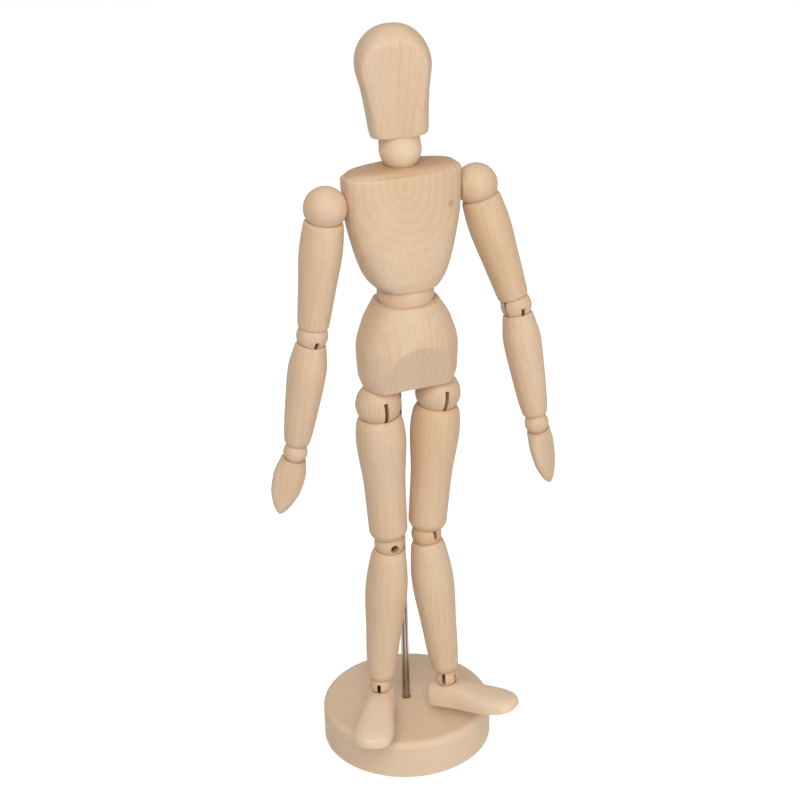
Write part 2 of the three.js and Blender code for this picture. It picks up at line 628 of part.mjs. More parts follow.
function addArm(word, side, pose) {
  const shoulderAt = at(side * SHOULDER_X, 0, SHOULDER_Z);
  const swing = hinge(word + "_arm_swing", X);
  const shoulder = body(word + "_shoulder_ball", chest, shoulderAt, [[X, pose.swing]], swing);
  shoulder.add(piece(shoulder.name, shoulderSolid(side), WOOD));

  const raise = hinge(word + "_arm_raise", Y.clone().multiplyScalar(-side));
  const upper = body(word + "_upper_arm", shoulder, at(0, 0, 0), [[Y, pose.raise]], raise);
  const ends = [{ diameter: SHOULDER_D, seat: ARM_SEAT }, { diameter: ELBOW_D, seat: ELBOW_SEAT }];
  const upperMade = turnedLimb(UPPER_ARM_L, UPPER_ARM_D, UPPER_ARM_GIRTH, ...ends);
  const upperPin = limbPiece(upper.name, upper, UPPER_ARM_L, UPPER_ARM_D, upperMade);

  const elbowTurn = hinge(word + "_elbow_turn", Z);
  const elbow = body(word + "_elbow_ball", upper, at(0, 0, -UPPER_ARM_L), [[Y, pose.elbowRoll]], elbowTurn);
  elbow.add(piece(elbow.name, boredBall(ELBOW_D).subtract(slit(ELBOW_D, -1, ARM_SLIT_DOWN)), WOOD));

  const elbowBend = hinge(word + "_elbow_bend", X.clone().negate());
  const fore = body(word + "_forearm", elbow, at(0, 0, 0), [[X, -pose.elbowBend]], elbowBend);
  const foreEnds = [{ diameter: ELBOW_D, seat: ELBOW_SEAT }, { diameter: WRIST_D, seat: LIMB_SEAT }];
  const foreMade = turnedLimb(FOREARM_L, FOREARM_D, FOREARM_GIRTH, ...foreEnds);
  const forePin = limbPiece(fore.name, fore, FOREARM_L, FOREARM_D, foreMade);

  const wristTurn = hinge(word + "_wrist_turn", Z);
  const wristTurns = [[Z, pose.wristTurn], [Y, pose.wristRoll]];
  const wrist = body(word + "_wrist_ball", fore, at(0, 0, -FOREARM_L), wristTurns, wristTurn);
  wrist.add(piece(wrist.name, boredBall(WRIST_D).subtract(slit(WRIST_D, 1, ARM_SLIT_DOWN)), WOOD));

  const wristBend = hinge(word + "_wrist_bend", X.clone().negate());
  const hand = body(word + "_hand", wrist, at(0, 0, 0), [[X, -pose.wristBend]], wristBend);
  hand.add(piece(hand.name, handSolid(), WOOD));
  const handPinAt = at(0, 0, -HAND_PIN_DOWN * HAND_L);
  const handPin = crossPin(hand.name + "_pin", hand, handPinAt, X, 2 * HAND_PIN_HALF * HAND_W);

  const shoulderShifts = [side * SHOULDER_HOOK_SHIFT, -HOOK_SHIFT];
  const elbowShifts = [HOOK_SHIFT, -HOOK_SHIFT];
  limbSprings.push([word + "_shoulder_spring", shoulder, chestPin, upperPin, shoulderShifts, SHORT_SPRING]);
  limbSprings.push([word + "_elbow_spring", elbow, upperPin, forePin, elbowShifts, SHORT_SPRING]);
  limbSprings.push([word + "_wrist_spring", wrist, forePin, handPin, [HOOK_SHIFT, 0], SHORT_SPRING]);
}

function addLeg(word, side, pose, footPose) {
  const hipAt = at((side * HIP_SPACING) / 2, 0, 0);
  const spread = hinge(word + "_leg_spread", Y.clone().multiplyScalar(-side));
  const hip = body(word + "_hip_ball", figure, hipAt, [[Y, pose.spread]], spread);
  hip.add(piece(hip.name, boredBall(HIP_D, FINE_SEGMENTS).subtract(slit(HIP_D, -1)), WOOD));

  const swing = hinge(word + "_leg_swing", X.clone().negate());
  const thigh = body(word + "_thigh", hip, at(0, 0, 0), [[X, pose.swing]], swing);
  const ends = [{ diameter: HIP_D, seat: THIGH_SEAT }, { diameter: KNEE_D, seat: KNEE_SEAT }];
  const thighMade = turnedLimb(THIGH_L, THIGH_D, THIGH_GIRTH, ...ends, FINE_SEGMENTS);
  const thighPin = limbPiece(thigh.name, thigh, THIGH_L, THIGH_D, thighMade);

  const kneeTurn = hinge(word + "_knee_turn", Z);
  const kneeTurns = [[Z, pose.kneeTurn], [Y, pose.kneeRoll]];
  const knee = body(word + "_knee_ball", thigh, at(0, 0, -THIGH_L), kneeTurns, kneeTurn);
  knee.add(piece(knee.name, kneeSolid(side), WOOD));

  const kneeBend = hinge(word + "_knee_bend", X);
  const shin = body(word + "_shin", knee, at(0, 0, 0), [[X, pose.kneeBend]], kneeBend);
  const shinEnds = [{ diameter: KNEE_D, seat: KNEE_SEAT }, { diameter: ANKLE_D, seat: LIMB_SEAT }];
  const shinMade = turnedLimb(SHIN_L, SHIN_D, SHIN_GIRTH, ...shinEnds);
  const shinPin = limbPiece(shin.name, shin, SHIN_L, SHIN_D, shinMade);

  const ankleTurn = hinge(word + "_ankle_turn", Z);
  const ankleTurns = [[Z, footPose.turn], [Y, footPose.roll]];
  const ankle = body(word + "_ankle_ball", shin, at(0, 0, -SHIN_L), ankleTurns, ankleTurn);
  ankle.add(piece(ankle.name, boredBall(ANKLE_D).subtract(slit(ANKLE_D, -1)), WOOD));

  const tilt = hinge(word + "_foot_tilt", X.clone().negate());
  const foot = body(word + "_foot", ankle, at(0, 0, 0), [[X, footPose.tilt]], tilt);
  foot.add(piece(foot.name, footSolid(), WOOD));
  const footPinAt = at(0, 0, -FOOT_PIN_DOWN * ANKLE_H);
  const footPin = crossPin(foot.name + "_pin", foot, footPinAt, X, 2 * FOOT_PIN_HALF * FOOT_W);

  const kneeShifts = [HOOK_SHIFT, -HOOK_SHIFT];
  limbSprings.push([word + "_hip_spring", hip, pelvisPin, thighPin, [0, -HOOK_SHIFT], LONG_SPRING]);
  limbSprings.push([word + "_knee_spring", knee, thighPin, shinPin, kneeShifts, LONG_SPRING]);
  limbSprings.push([word + "_ankle_spring", ankle, shinPin, footPin, [HOOK_SHIFT, 0], SHORT_SPRING]);
}

for (const [word, { side, arm, leg, foot }] of Object.entries(REST)) {
  addArm(word, side, arm);
  addLeg(word, side, leg, foot);
}

// The figure stands so high on its rod that the lower foot hangs just clear of the base
const lowest = new THREE.Box3().setFromObject(figure, true).min.z;
figure.position.z = BASE_T + SOLE_LIFT - lowest;
root.updateMatrixWorld(true);

spring("waist_spring", waist, chestPin, pelvisPin, [-HOOK_SHIFT, 0], SHORT_SPRING);
spring("neck_spring", neck, headPin, chestPin, [0, HOOK_SHIFT], SHORT_SPRING);
for (const ends of limbSprings) {
  spring(...ends);
}
console.log("least gap of a spring to itself", Math.min(...springGaps).toFixed(2), "mm");

const rodTop = figure.position.z + PELVIS_LOW + ROD_IN_PELVIS;
const rodLow = BASE_T - ROD_IN_BASE + ROD_GAP;
root.add(piece("stand_rod", bar(ROD_D / 2, at(0, 0, rodLow), at(0, 0, rodTop), ROD_SEGMENTS), STEEL));

export default root;
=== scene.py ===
# %% [markdown]
# # A jointed wooden drawing figure on a stand
# Sixty plain faceted solids on thirty moving bodies are the skeleton of this lesson. They are dressed
# with smooth surfaces that numpy works out on grids, and then with wood or steel. Everything stays in
# the frame of the solids, in metres, so nothing has to be fitted by eye.

# %% Load the frame
import json

import bpy
import numpy as np
from mathutils import Matrix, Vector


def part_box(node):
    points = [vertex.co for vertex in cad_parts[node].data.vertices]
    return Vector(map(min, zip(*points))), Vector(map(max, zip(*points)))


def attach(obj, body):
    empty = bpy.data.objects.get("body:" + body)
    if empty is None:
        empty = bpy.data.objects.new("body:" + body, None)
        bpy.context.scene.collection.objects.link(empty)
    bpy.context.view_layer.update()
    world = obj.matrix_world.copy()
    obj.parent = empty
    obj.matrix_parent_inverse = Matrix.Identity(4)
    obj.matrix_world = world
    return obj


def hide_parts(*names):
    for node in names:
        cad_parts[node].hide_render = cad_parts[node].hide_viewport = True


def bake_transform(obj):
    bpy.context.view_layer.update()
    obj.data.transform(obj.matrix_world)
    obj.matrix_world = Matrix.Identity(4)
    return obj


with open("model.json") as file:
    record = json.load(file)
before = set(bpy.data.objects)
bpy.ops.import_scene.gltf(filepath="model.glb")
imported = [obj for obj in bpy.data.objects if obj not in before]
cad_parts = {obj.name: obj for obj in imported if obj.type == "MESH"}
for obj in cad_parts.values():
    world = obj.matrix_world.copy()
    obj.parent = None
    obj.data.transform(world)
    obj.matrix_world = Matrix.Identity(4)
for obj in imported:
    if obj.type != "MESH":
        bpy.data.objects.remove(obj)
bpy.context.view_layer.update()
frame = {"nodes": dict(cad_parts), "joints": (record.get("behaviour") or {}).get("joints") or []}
scene = bpy.context.scene
MM = 0.001

# %% [markdown]
# Every limb is easiest to draw upright, with its ball at the origin and its length down the Z axis.
# The figure stands in a pose, so each body needs the place and the turn that carry it there.
# They could be typed in, but the joints already hold them: a pivot is a ball's centre, and a turning
# axis is a local X, Y or Z of the body.

# %% Reading places and turns from the joints
JOINTS = {joint["name"]: joint for joint in frame["joints"]}


def unit(vector):
    """The vector divided by its own length."""
    return vector / np.linalg.norm(vector)


def pivot(joint):
    """The point that a joint turns about, in metres."""
    return np.array(JOINTS[joint]["pos_m"])


def axis(joint):
    """The direction of a joint's turning axis."""
    return unit(np.array(JOINTS[joint]["axis"]))


def turned_about(letter, degrees):
    """Rotation matrix about one local axis."""
    return np.array(Matrix.Rotation(np.radians(degrees), 3, letter))


def from_xz(x, z):
    """A frame whose columns are x, y and z: z is kept, and x is squared up to it."""
    y = unit(np.cross(z, x))
    return np.stack([np.cross(y, z), y, z], axis=1)


def from_ball(x, limb_z):
    """A ball that turned about the limb above it, then leaned about its own Y: Y is square to both."""
    y = unit(np.cross(limb_z, x))
    return np.stack([x, y, np.cross(x, y)], axis=1)


print("hinges:", len(JOINTS))

# %% [markdown]
# The trunk is a stack: pelvis on the rod, waist ball, chest, neck and head. The head is the last of its
# chain, so no joint tells how far it is turned, and its angle is given here.

# %% Places of the stand, the trunk and the head
HEAD_TURN = -18.0

trunk = from_xz(axis("waist_lean"), axis("chest_turn"))
neck_up = axis("head_turn")
neck_turn = from_xz(np.cross(trunk[:, 1], neck_up), neck_up)
hip_middle = (pivot("right_leg_spread") + pivot("left_leg_spread")) / 2
PLACE = {
    "base": (np.zeros(3), np.eye(3)),
    "pelvis": (hip_middle, np.eye(3)),
    "waist_ball": (pivot("waist_lean"), trunk),
    "chest": (pivot("waist_lean"), trunk),
    "neck": (pivot("neck_nod"), neck_turn),
    "head": (pivot("head_turn"), neck_turn @ turned_about("Z", HEAD_TURN)),
}
print("placed", len(PLACE), "bodies of the trunk")

# %% [markdown]
# Arms and legs are built alike: a ball, a bone, a ball, a bone, a ball, and a hand or a foot. Left and
# right differ only in the sign of the axes that point outwards. A hand or a foot ends its chain, so its
# small bend at rest is given.

# %% Places of the arms and the legs
SIDES = {"right": -1, "left": 1}
HAND_BEND = {"right": 0.0, "left": 3.0}
FOOT_TILT = {"right": -1.0, "left": -5.0}

for side, sign in SIDES.items():
    shoulder_x, shoulder_y = axis(side + "_arm_swing"), -sign * axis(side + "_arm_raise")
    arm_z, fore_z = axis(side + "_elbow_turn"), axis(side + "_wrist_turn")
    elbow_x, wrist_x = -axis(side + "_elbow_bend"), -axis(side + "_wrist_bend")
    hip_y, hip_x = -sign * axis(side + "_leg_spread"), -axis(side + "_leg_swing")
    thigh_z, shin_z = axis(side + "_knee_turn"), axis(side + "_ankle_turn")
    knee_x, ankle_x = axis(side + "_knee_bend"), -axis(side + "_foot_tilt")
    wrist, ankle = from_ball(wrist_x, fore_z), from_ball(ankle_x, shin_z)
    turns = {
        "shoulder_ball": ("arm_swing", from_xz(shoulder_x, np.cross(shoulder_x, shoulder_y))),
        "upper_arm": ("arm_swing", from_xz(np.cross(shoulder_y, arm_z), arm_z)),
        "elbow_ball": ("elbow_turn", from_ball(elbow_x, arm_z)),
        "forearm": ("elbow_turn", from_xz(elbow_x, fore_z)),
        "wrist_ball": ("wrist_turn", wrist),
        "hand": ("wrist_turn", wrist @ turned_about("X", HAND_BEND[side])),
        "hip_ball": ("leg_spread", from_xz(hip_x, np.cross(hip_x, hip_y))),
        "thigh": ("leg_spread", from_xz(hip_x, thigh_z)),
        "knee_ball": ("knee_turn", from_ball(knee_x, thigh_z)),
        "shin": ("knee_turn", from_xz(knee_x, shin_z)),
        "ankle_ball": ("ankle_turn", ankle),
        "foot": ("ankle_turn", ankle @ turned_about("X", FOOT_TILT[side])),
    }
    for body, (joint, matrix) in turns.items():
        PLACE[side + "_" + body] = (pivot(side + "_" + joint), matrix)
print("placed", len(PLACE), "bodies in all")

# %% [markdown]
# One helper makes every mesh. A shape is a grid of points: rows run along the piece and columns run
# round it. A bored piece is a loop of rows, and any other has a middle point at each end. The helper
# turns the faces outwards by the sign of the volume, and shades smooth except across sharp edges.

# %% From a grid to a mesh
SHARP_DEGREES = 40


def skin_faces(rows, cols, loop):
    """Quads between neighbouring rows, and triangle fans to one extra point at each open end."""
    index = np.arange(rows * cols).reshape(rows, cols)
    upper = index if loop else index[:-1]
    lower = np.roll(index, -1, axis=0) if loop else index[1:]
    quads = np.stack([upper, np.roll(upper, -1, 1), np.roll(lower, -1, 1), lower], axis=-1)
    quads = quads.reshape(-1, 4)
    if loop:
        return quads, np.zeros((0, 3), int)
    first, last = index[0], index[-1]
    start = np.stack([np.full(cols, rows * cols), np.roll(first, -1), first], axis=-1)
    end = np.stack([np.full(cols, rows * cols + 1), last, np.roll(last, -1)], axis=-1)
    return quads, np.vstack([start, end])


def signed_volume(points, quads, fans):
    """A sixth of the sum of the triple products of all triangles."""
    triangles = np.vstack([quads[:, [0, 1, 2]], quads[:, [0, 2, 3]], fans])
    a, b, c = points[triangles].transpose(1, 0, 2)
    return np.einsum("ij,ij->", a, np.cross(b, c)) / 6


def mesh_from_grid(name, grid, place, loop=False, hollow=None):
    """Local millimetres to metres in the shared frame: place + turn times the point."""
    origin, matrix = place
    rows, cols = grid.shape[:2]
    points = grid.reshape(-1, 3)
    if not loop:
        points = np.vstack([points, grid[0].mean(0), grid[-1].mean(0)])
    quads, fans = skin_faces(rows, cols, loop)
    if signed_volume(points, quads, fans) < 0:
        quads, fans = quads[:, ::-1], fans[:, ::-1]
    world = origin + MM * points @ matrix.T
    mesh = bpy.data.meshes.new(name)
    mesh.from_pydata(world.tolist(), [], quads.tolist() + fans.tolist())
    # Each point's share of painted shade inside a cut is kept as an attribute on the mesh.
    if hollow is not None:
        depth = np.r_[hollow.ravel(), 0.0, 0.0]
        mesh.attributes.new("hollow", "FLOAT", "POINT").data.foreach_set("value", depth)
    mesh.shade_smooth()
    mesh.set_sharp_from_angle(angle=np.radians(SHARP_DEGREES))
    piece = bpy.data.objects.new(name, mesh)
    scene.collection.objects.link(piece)
    return piece


print("edges sharper than", SHARP_DEGREES, "degrees stay crisp")

# %% [markdown]
# A skin takes the place of one solid and rides on that solid's body. It must not grow or shrink the
# figure, so each one is measured against the box of the solid that it covers.

# %% A skin that rides on its body
def dress(node, grid, loop=False, hollow=None):
    """The piece that stands for one solid, on the body of the same name."""
    body = "base" if node == "stand_rod" else node
    piece = mesh_from_grid(node + "_skin", grid, PLACE[body], loop, hollow)
    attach(piece, body)
    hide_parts(node)
    low, high = (np.array(corner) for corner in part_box(node))
    seen = np.array([vertex.co for vertex in piece.data.vertices])
    off = max(np.abs(seen.min(0) - low).max(), np.abs(seen.max(0) - high).max()) / MM
    print(f"{node}: {len(piece.data.polygons)} faces, {off:.2f} mm from its solid's box")
    return piece


# %% [markdown]
# Turned wood is a profile carried round an axis. A chain of straight lines would show as rings, so the
# profile runs through its few measured widths as a cubic that never overshoots. Carved blocks are level
# rings instead, somewhat squarer than ellipses.

# %% Profiles and rings
ROUND = 64
FINE_ROUND = 192


def through(x, xs, ys):
    """Cubic through the points: an inner slope is the harmonic mean of its two sides, or 0 at a turn."""
    xs, ys = np.asarray(xs, float), np.asarray(ys, float)
    step = np.diff(xs)
    rise = np.diff(ys) / step
    same_way = rise[:-1] * rise[1:] > 0
    inner = np.where(same_way, 2 * rise[:-1] * rise[1:] / np.where(same_way, rise[:-1] + rise[1:], 1), 0)
    slope = np.r_[rise[0], inner, rise[-1]]
    k = np.clip(np.searchsorted(xs, x) - 1, 0, len(step) - 1)
    t = (x - xs[k]) / step[k]
    bend = (1 - t) * (slope[k] - rise[k]) - t * (slope[k + 1] - rise[k])
    return ys[k] + t * (ys[k + 1] - ys[k]) + step[k] * t * (1 - t) * bend


def crowded(count):
    """Shares from 0 to 1 that lie close together at both ends: half of 1 minus a cosine."""
    return (1 - np.cos(np.linspace(0, np.pi, count))) / 2


def arc(radius, start, end, count, middle=(0.0, 0.0)):
    """Profile points [r, z] on a circle round middle, with angles measured from straight up."""
    angle = np.linspace(start, end, count)
    return np.stack([middle[0] + radius * np.sin(angle), middle[1] + radius * np.cos(angle)], axis=1)


def revolve(profile, count=ROUND):
    """Each profile point [r, z] becomes a ring of points about Z."""
    profile = np.asarray(profile, float)
    angle = 2 * np.pi * np.arange(count) / count
    r, z = profile[:, :1], profile[:, 1:]
    return np.stack([r * np.cos(angle), r * np.sin(angle), z + 0 * angle], axis=-1)


def ovals(z, half_width, half_depth, power, count=FINE_ROUND):
    """Level rings: |x / a| ** p + |y / b| ** p = 1, one row for each height."""
    angle = 2 * np.pi * np.arange(count) / count
    c, s = np.cos(angle), np.sin(angle)
    rows = np.broadcast_arrays(z, half_width, half_depth, power)
    z, a, b, p = (np.asarray(row, float)[..., None] for row in rows)
    x = a * np.sign(c) * np.abs(c) ** (2 / p)
    y = b * np.sign(s) * np.abs(s) ** (2 / p)
    return np.stack([x, y, z + 0 * angle], axis=-1)


print("points round a limb:", ROUND, "and round a block:", FINE_ROUND)

# %% [markdown]
# The base is a thick turned disc with a softly rounded upper edge and a hole for the rod. The rod is a
# plain round steel bar with its ends broken by a file. Both are profiles carried round an axis.

# %% Base and stand rod
BASE_R, BASE_T, BASE_EDGE_R, BASE_CHAMFER = 35.5, 16.7, 3.0, 0.8
BASE_MIDDLE_R, BASE_TOP_RING_R, BASE_EDGE_ROWS = 1.0, 12.0, 14
ROD_R, ROD_FIT, ROD_IN_BASE, ROD_END, ROD_ROUND = 1.6, 0.3, 12.0, 0.4, 48
LEAST_R = 0.5

rod_hole = ROD_R + ROD_FIT
hole_floor = BASE_T - ROD_IN_BASE
edge_middle = (BASE_R - BASE_EDGE_R, BASE_T - BASE_EDGE_R)
base_foot = [
    [BASE_MIDDLE_R, 0], [BASE_R - BASE_CHAMFER, 0], [BASE_R, BASE_CHAMFER], [BASE_R, 2 * BASE_CHAMFER],
]
base_edge = arc(BASE_EDGE_R, np.pi / 2, 0, BASE_EDGE_ROWS, edge_middle)
base_top = [
    [BASE_TOP_RING_R, BASE_T], [rod_hole, BASE_T], [rod_hole, hole_floor], [BASE_MIDDLE_R, hole_floor],
]
dress("base", revolve(np.vstack([base_foot, base_edge, base_top]), FINE_ROUND))

rod_low, rod_high = (corner[2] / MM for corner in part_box("stand_rod"))
rod_profile = [
    [LEAST_R, rod_low], [ROD_R - ROD_END, rod_low], [ROD_R, rod_low + ROD_END],
    [ROD_R, rod_high - ROD_END], [ROD_R - ROD_END, rod_high], [LEAST_R, rod_high],
]
dress("stand_rod", revolve(rod_profile, ROD_ROUND))

# %% [markdown]
# A limb is a baluster: hollowed at both ends to sit on a ball, drilled through for the spring, fullest
# a little below its upper end. The profile is one closed loop, so the drilled hole needs no cutting.
# A seat is the distance of a limb's rim from its ball's centre, as a share of the ball's radius.

# %% Arms and legs
CUP_GAP, RIM_LIP, BORE_R = 0.1, 0.75, 1.8
SHOULDER_D, ELBOW_D, WRIST_D = 16.4, 12.2, 9.6
HIP_D, KNEE_D, ANKLE_D = 18.0, 12.2, 9.0
LIMB_SEAT, ARM_SEAT, THIGH_SEAT, ELBOW_SEAT, KNEE_SEAT = 0.68, 0.63, 0.59, 0.57, 0.5
LIMB_ROWS, CUP_ROWS = 72, 14
GIRTH = {
    "upper_arm": (16.4, [[0.04, 0.93], [0.26, 1], [0.62, 0.88], [0.95, 0.75]]),
    "forearm": (15.0, [[0.05, 0.84], [0.25, 1], [0.55, 0.91], [0.95, 0.69]]),
    "thigh": (19.8, [[0.05, 0.94], [0.18, 1], [0.55, 0.84], [0.8, 0.8], [0.94, 0.78]]),
    "shin": (17.2, [[0.05, 0.83], [0.3, 1], [0.62, 0.85], [0.95, 0.66]]),
}
ENDS = {
    "upper_arm": ((SHOULDER_D, ARM_SEAT), (ELBOW_D, ELBOW_SEAT), "arm_swing", "elbow_turn"),
    "forearm": ((ELBOW_D, ELBOW_SEAT), (WRIST_D, LIMB_SEAT), "elbow_turn", "wrist_turn"),
    "thigh": ((HIP_D, THIGH_SEAT), (KNEE_D, KNEE_SEAT), "leg_spread", "knee_turn"),
    "shin": ((KNEE_D, KNEE_SEAT), (ANKLE_D, LIMB_SEAT), "knee_turn", "ankle_turn"),
}


def cup_of(diameter, seat):
    """Radius of the hollow over a ball, its rim's distance from the ball's centre, and the rim's radius."""
    radius = diameter / 2 + CUP_GAP
    rim_z = seat * diameter / 2
    return radius, rim_z, np.sqrt(radius**2 - rim_z**2)


def cup_over(radius, rim_z, count, mouth=BORE_R, centre_z=0.0):
    """Profile of a hollow that sits over a ball from above, from its drilled mouth out to its rim."""
    start, end = np.pi - np.arcsin(mouth / radius), np.pi - np.arccos(rim_z / radius)
    return arc(radius, start, end, count, (0, centre_z))


def limb_profile(length, width, girth, top, low):
    """Top hollow, rounded rim, side, rounded rim, lower hollow: [r, z] from the bore to the bore."""
    top_cup, top_z, top_rim = cup_of(*top)
    low_cup, low_z, low_rim = cup_of(*low)
    span = length - top_z - low_z
    down, share = np.array(girth).T
    z_points = np.r_[0, down * span, span]
    r_points = np.r_[top_rim + RIM_LIP, share * width / 2, low_rim + RIM_LIP]
    along = span * crowded(LIMB_ROWS)
    end = np.clip(np.minimum(along, span - along), 0, RIM_LIP)
    rounding = RIM_LIP - np.sqrt(RIM_LIP**2 - (RIM_LIP - end) ** 2)
    sides = np.stack([through(along, z_points, r_points) - rounding, -top_z - along], axis=1)
    top_hollow = cup_over(top_cup, top_z, CUP_ROWS)
    low_start, low_end = np.arccos(low_z / low_cup), np.arcsin(BORE_R / low_cup)
    low_hollow = arc(low_cup, low_start, low_end, CUP_ROWS, (0, -length))
    return np.vstack([top_hollow, sides[1:-1], low_hollow])


for side in SIDES:
    for bone, (top, low, upper_joint, lower_joint) in ENDS.items():
        ends = pivot(side + "_" + upper_joint) - pivot(side + "_" + lower_joint)
        profile = limb_profile(np.linalg.norm(ends) / MM, *GIRTH[bone], top, low)
        dress(side + "_" + bone, revolve(profile), loop=True)

# %% [markdown]
# The balls are cut as on the real figure: a saw slit lets the spring swing, and one knee has a round
# hole too. Cutting with another solid leaves untidy faces, so the cut is drawn into the grid instead.
# A cut has a direction, two heights and a half width at each height. A row is given twice where a cut
# begins or ends, which makes its end square.

# %% The cuts and the rows of a ball
BALL_ROWS, CUT_ROWS, POLE_ANGLE = 40, 24, 0.12
SLIT_HALF, SLIT_TOP, ARM_SLIT_TOP = 0.78, 0.18, -0.05
EYE_R, EYE_DOWN = 1.7, 0.04
HEIGHT_DIGITS = 4


def slit_cut(degrees, diameter, top=SLIT_TOP, low=-0.5):
    """A slit of even width between two heights, which are shares of the diameter."""
    return degrees, top * diameter, low * diameter, lambda z: np.full_like(z, SLIT_HALF)


def eye_cut(degrees, diameter):
    """A round hole: half its width is the half chord of a circle at each height."""
    middle = -EYE_DOWN * diameter

    def half(z):
        return np.sqrt(np.clip(EYE_R**2 - (z - middle) ** 2, 0, None))

    return degrees, middle + EYE_R, middle - EYE_R, half


def ball_rows(radius, cuts):
    """Heights from top to bottom: even turns of the angle, crowded rows in each cut, its ends twice."""
    even = radius * np.cos(np.linspace(POLE_ANGLE, np.pi - POLE_ANGLE, BALL_ROWS))
    ends = np.array([(top, low) for _, top, low, _ in cuts])
    spans = ends[:, 1:] + (ends[:, :1] - ends[:, 1:]) * crowded(CUT_ROWS)
    heights = np.clip(np.append(even, spans), even[-1], even[0])
    heights = np.unique(np.round(heights, HEIGHT_DIGITS))
    inner_ends = ends[(ends > heights[0]) & (ends < heights[-1])]
    return np.sort(np.append(heights, np.round(inner_ends, HEIGHT_DIGITS)))[::-1]


def open_rows(z, top, low):
    """The rows that a cut opens: after the first row at its top, and before the last at its low end."""
    row = np.arange(len(z))
    first = np.searchsorted(-z, -round(top, HEIGHT_DIGITS))
    last = np.searchsorted(-z, -round(low, HEIGHT_DIGITS), side="right") - 1
    return (row > first) & (row < last) & (z <= top)


print("a plain ball has", BALL_ROWS, "rows, and each cut adds", CUT_ROWS)

# %% [markdown]
# Round the ball, each cut takes five columns: its two edges on the sphere, the same two edges again as
# the feet of its walls, and one in the middle. Where the cut is open, the three inner ones drop to a
# floor behind the spring. The open points are noted, so that painted shade can darken the wood in there.

# %% Balls with their slits and holes
GAP_COLUMNS = 20
CUT_FLOOR, FLOOR_SHARE = 3.0, 0.5
LEAST_ANGLE, MOST_CHORD = 0.02, 0.97


def across_cut(girth, half_angle, opened, floor):
    """Angles -1, -1/2, 0, 1/2 and 1 of the half angle on the sphere; walls and floor where it is open."""
    angle = half_angle * [-1.0, -0.5, 0.0, 0.5, 1.0]
    inside = opened & np.array([False, True, True, True, False])
    x = np.where(inside, girth * np.sin(half_angle) * [-1.0, -1.0, 0.0, 1.0, 1.0], girth * np.sin(angle))
    y = np.where(inside, floor, -girth * np.cos(angle))
    return x, y, inside


def cut_ball(radius, cuts):
    """A sphere by height and angle; girth is a row's radius. Angle 0 is -Y, and it grows towards +X."""
    cuts = sorted(cuts, key=lambda cut: cut[0])
    z = ball_rows(radius, cuts)
    girth = np.sqrt(radius**2 - z**2)[:, None]
    floor = np.minimum(CUT_FLOOR, FLOOR_SHARE * girth)
    middles = np.radians([cut[0] for cut in cuts])
    chords = [np.clip(half(z)[:, None] / girth, 0, MOST_CHORD) for _, _, _, half in cuts]
    half_angles = [np.maximum(np.arcsin(chord), LEAST_ANGLE) for chord in chords]
    between = np.arange(1, GAP_COLUMNS) / GAP_COLUMNS
    sectors, cut_shade_masks = [], []
    for k, (_, top, low, _) in enumerate(cuts):
        x, y, inside = across_cut(girth, half_angles[k], open_rows(z, top, low)[:, None], floor)
        after = (k + 1) % len(cuts)
        far = middles[after] - middles[k] + 2 * np.pi * (after <= k)
        turn = half_angles[k] + between * (far - half_angles[after] - half_angles[k])
        x = np.hstack([x, girth * np.sin(turn)])
        y = np.hstack([y, -girth * np.cos(turn)])
        c, s = np.cos(middles[k]), np.sin(middles[k])
        sectors.append(np.stack([x * c - y * s, x * s + y * c, z[:, None] + 0 * x], axis=-1))
        # Points on the walls and floor of an open cut are kept as a mask for painted shade.
        cut_shade_masks.append(np.hstack([inside, np.zeros_like(turn, bool)]))
    return np.hstack(sectors), np.hstack(cut_shade_masks).astype(float)


CUTS = {
    "elbow": (ELBOW_D, slit_cut(0, ELBOW_D, ARM_SLIT_TOP)),
    "wrist": (WRIST_D, slit_cut(180, WRIST_D, ARM_SLIT_TOP)),
    "hip": (HIP_D, slit_cut(0, HIP_D)),
    "knee": (KNEE_D, slit_cut(180, KNEE_D)),
    "ankle": (ANKLE_D, slit_cut(0, ANKLE_D)),
}
SECOND_CUTS = {
    "left_elbow": slit_cut(-72, ELBOW_D, 0.5, -0.3),
    "right_knee": eye_cut(0, KNEE_D),
    "left_knee": slit_cut(39, KNEE_D, 0.5, -0.1),
    "left_ankle": slit_cut(-75, ANKLE_D, 0.5, -0.2),
}
for joint, (diameter, cut) in CUTS.items():
    for side in SIDES:
        name = side + "_" + joint
        cuts = [cut, SECOND_CUTS[name]] if name in SECOND_CUTS else [cut]
        # The ball's mask says where painted shade darkens the inside of its cuts.
        ball, cut_shade_mask = cut_ball(diameter / 2, cuts)
        dress(name + "_ball", ball, hollow=cut_shade_mask)

# %% [markdown]
# The shoulder balls are plain, with one flat where they bear on the chest. The waist ball is bored, and
# the neck is a ball below and a barrel above, so all of them are turned profiles.

# %% Shoulders, waist and neck
WAIST_D, WAIST_SEAT = 22.0, 0.272
NECK_D, NECK_SEAT, NECK_BARREL_R, NECK_IN_HEAD, NECK_END = 16.0, 0.72, 7.8, 2.6, 0.4
SHOULDER_FLAT, SHOULDER_POLE, FLAT_MIDDLE_R = 0.88, 0.02, 1.0
BALL_MOUTH_R = 2.6
SHOULDER_ROWS, WAIST_ROWS, NECK_ROWS, BALL_ROUND = 60, 64, 48, 96

flat_angle = np.pi - np.arccos(SHOULDER_FLAT)
shoulder_round = arc(SHOULDER_D / 2, SHOULDER_POLE, flat_angle, SHOULDER_ROWS)
shoulder_flat = [[FLAT_MIDDLE_R, -SHOULDER_FLAT * SHOULDER_D / 2]]
shoulder = revolve(np.vstack([shoulder_round, shoulder_flat]))
for side, sign in SIDES.items():
    dress(side + "_shoulder_ball", shoulder[..., [2, 1, 0]] * [sign, 1, 1])

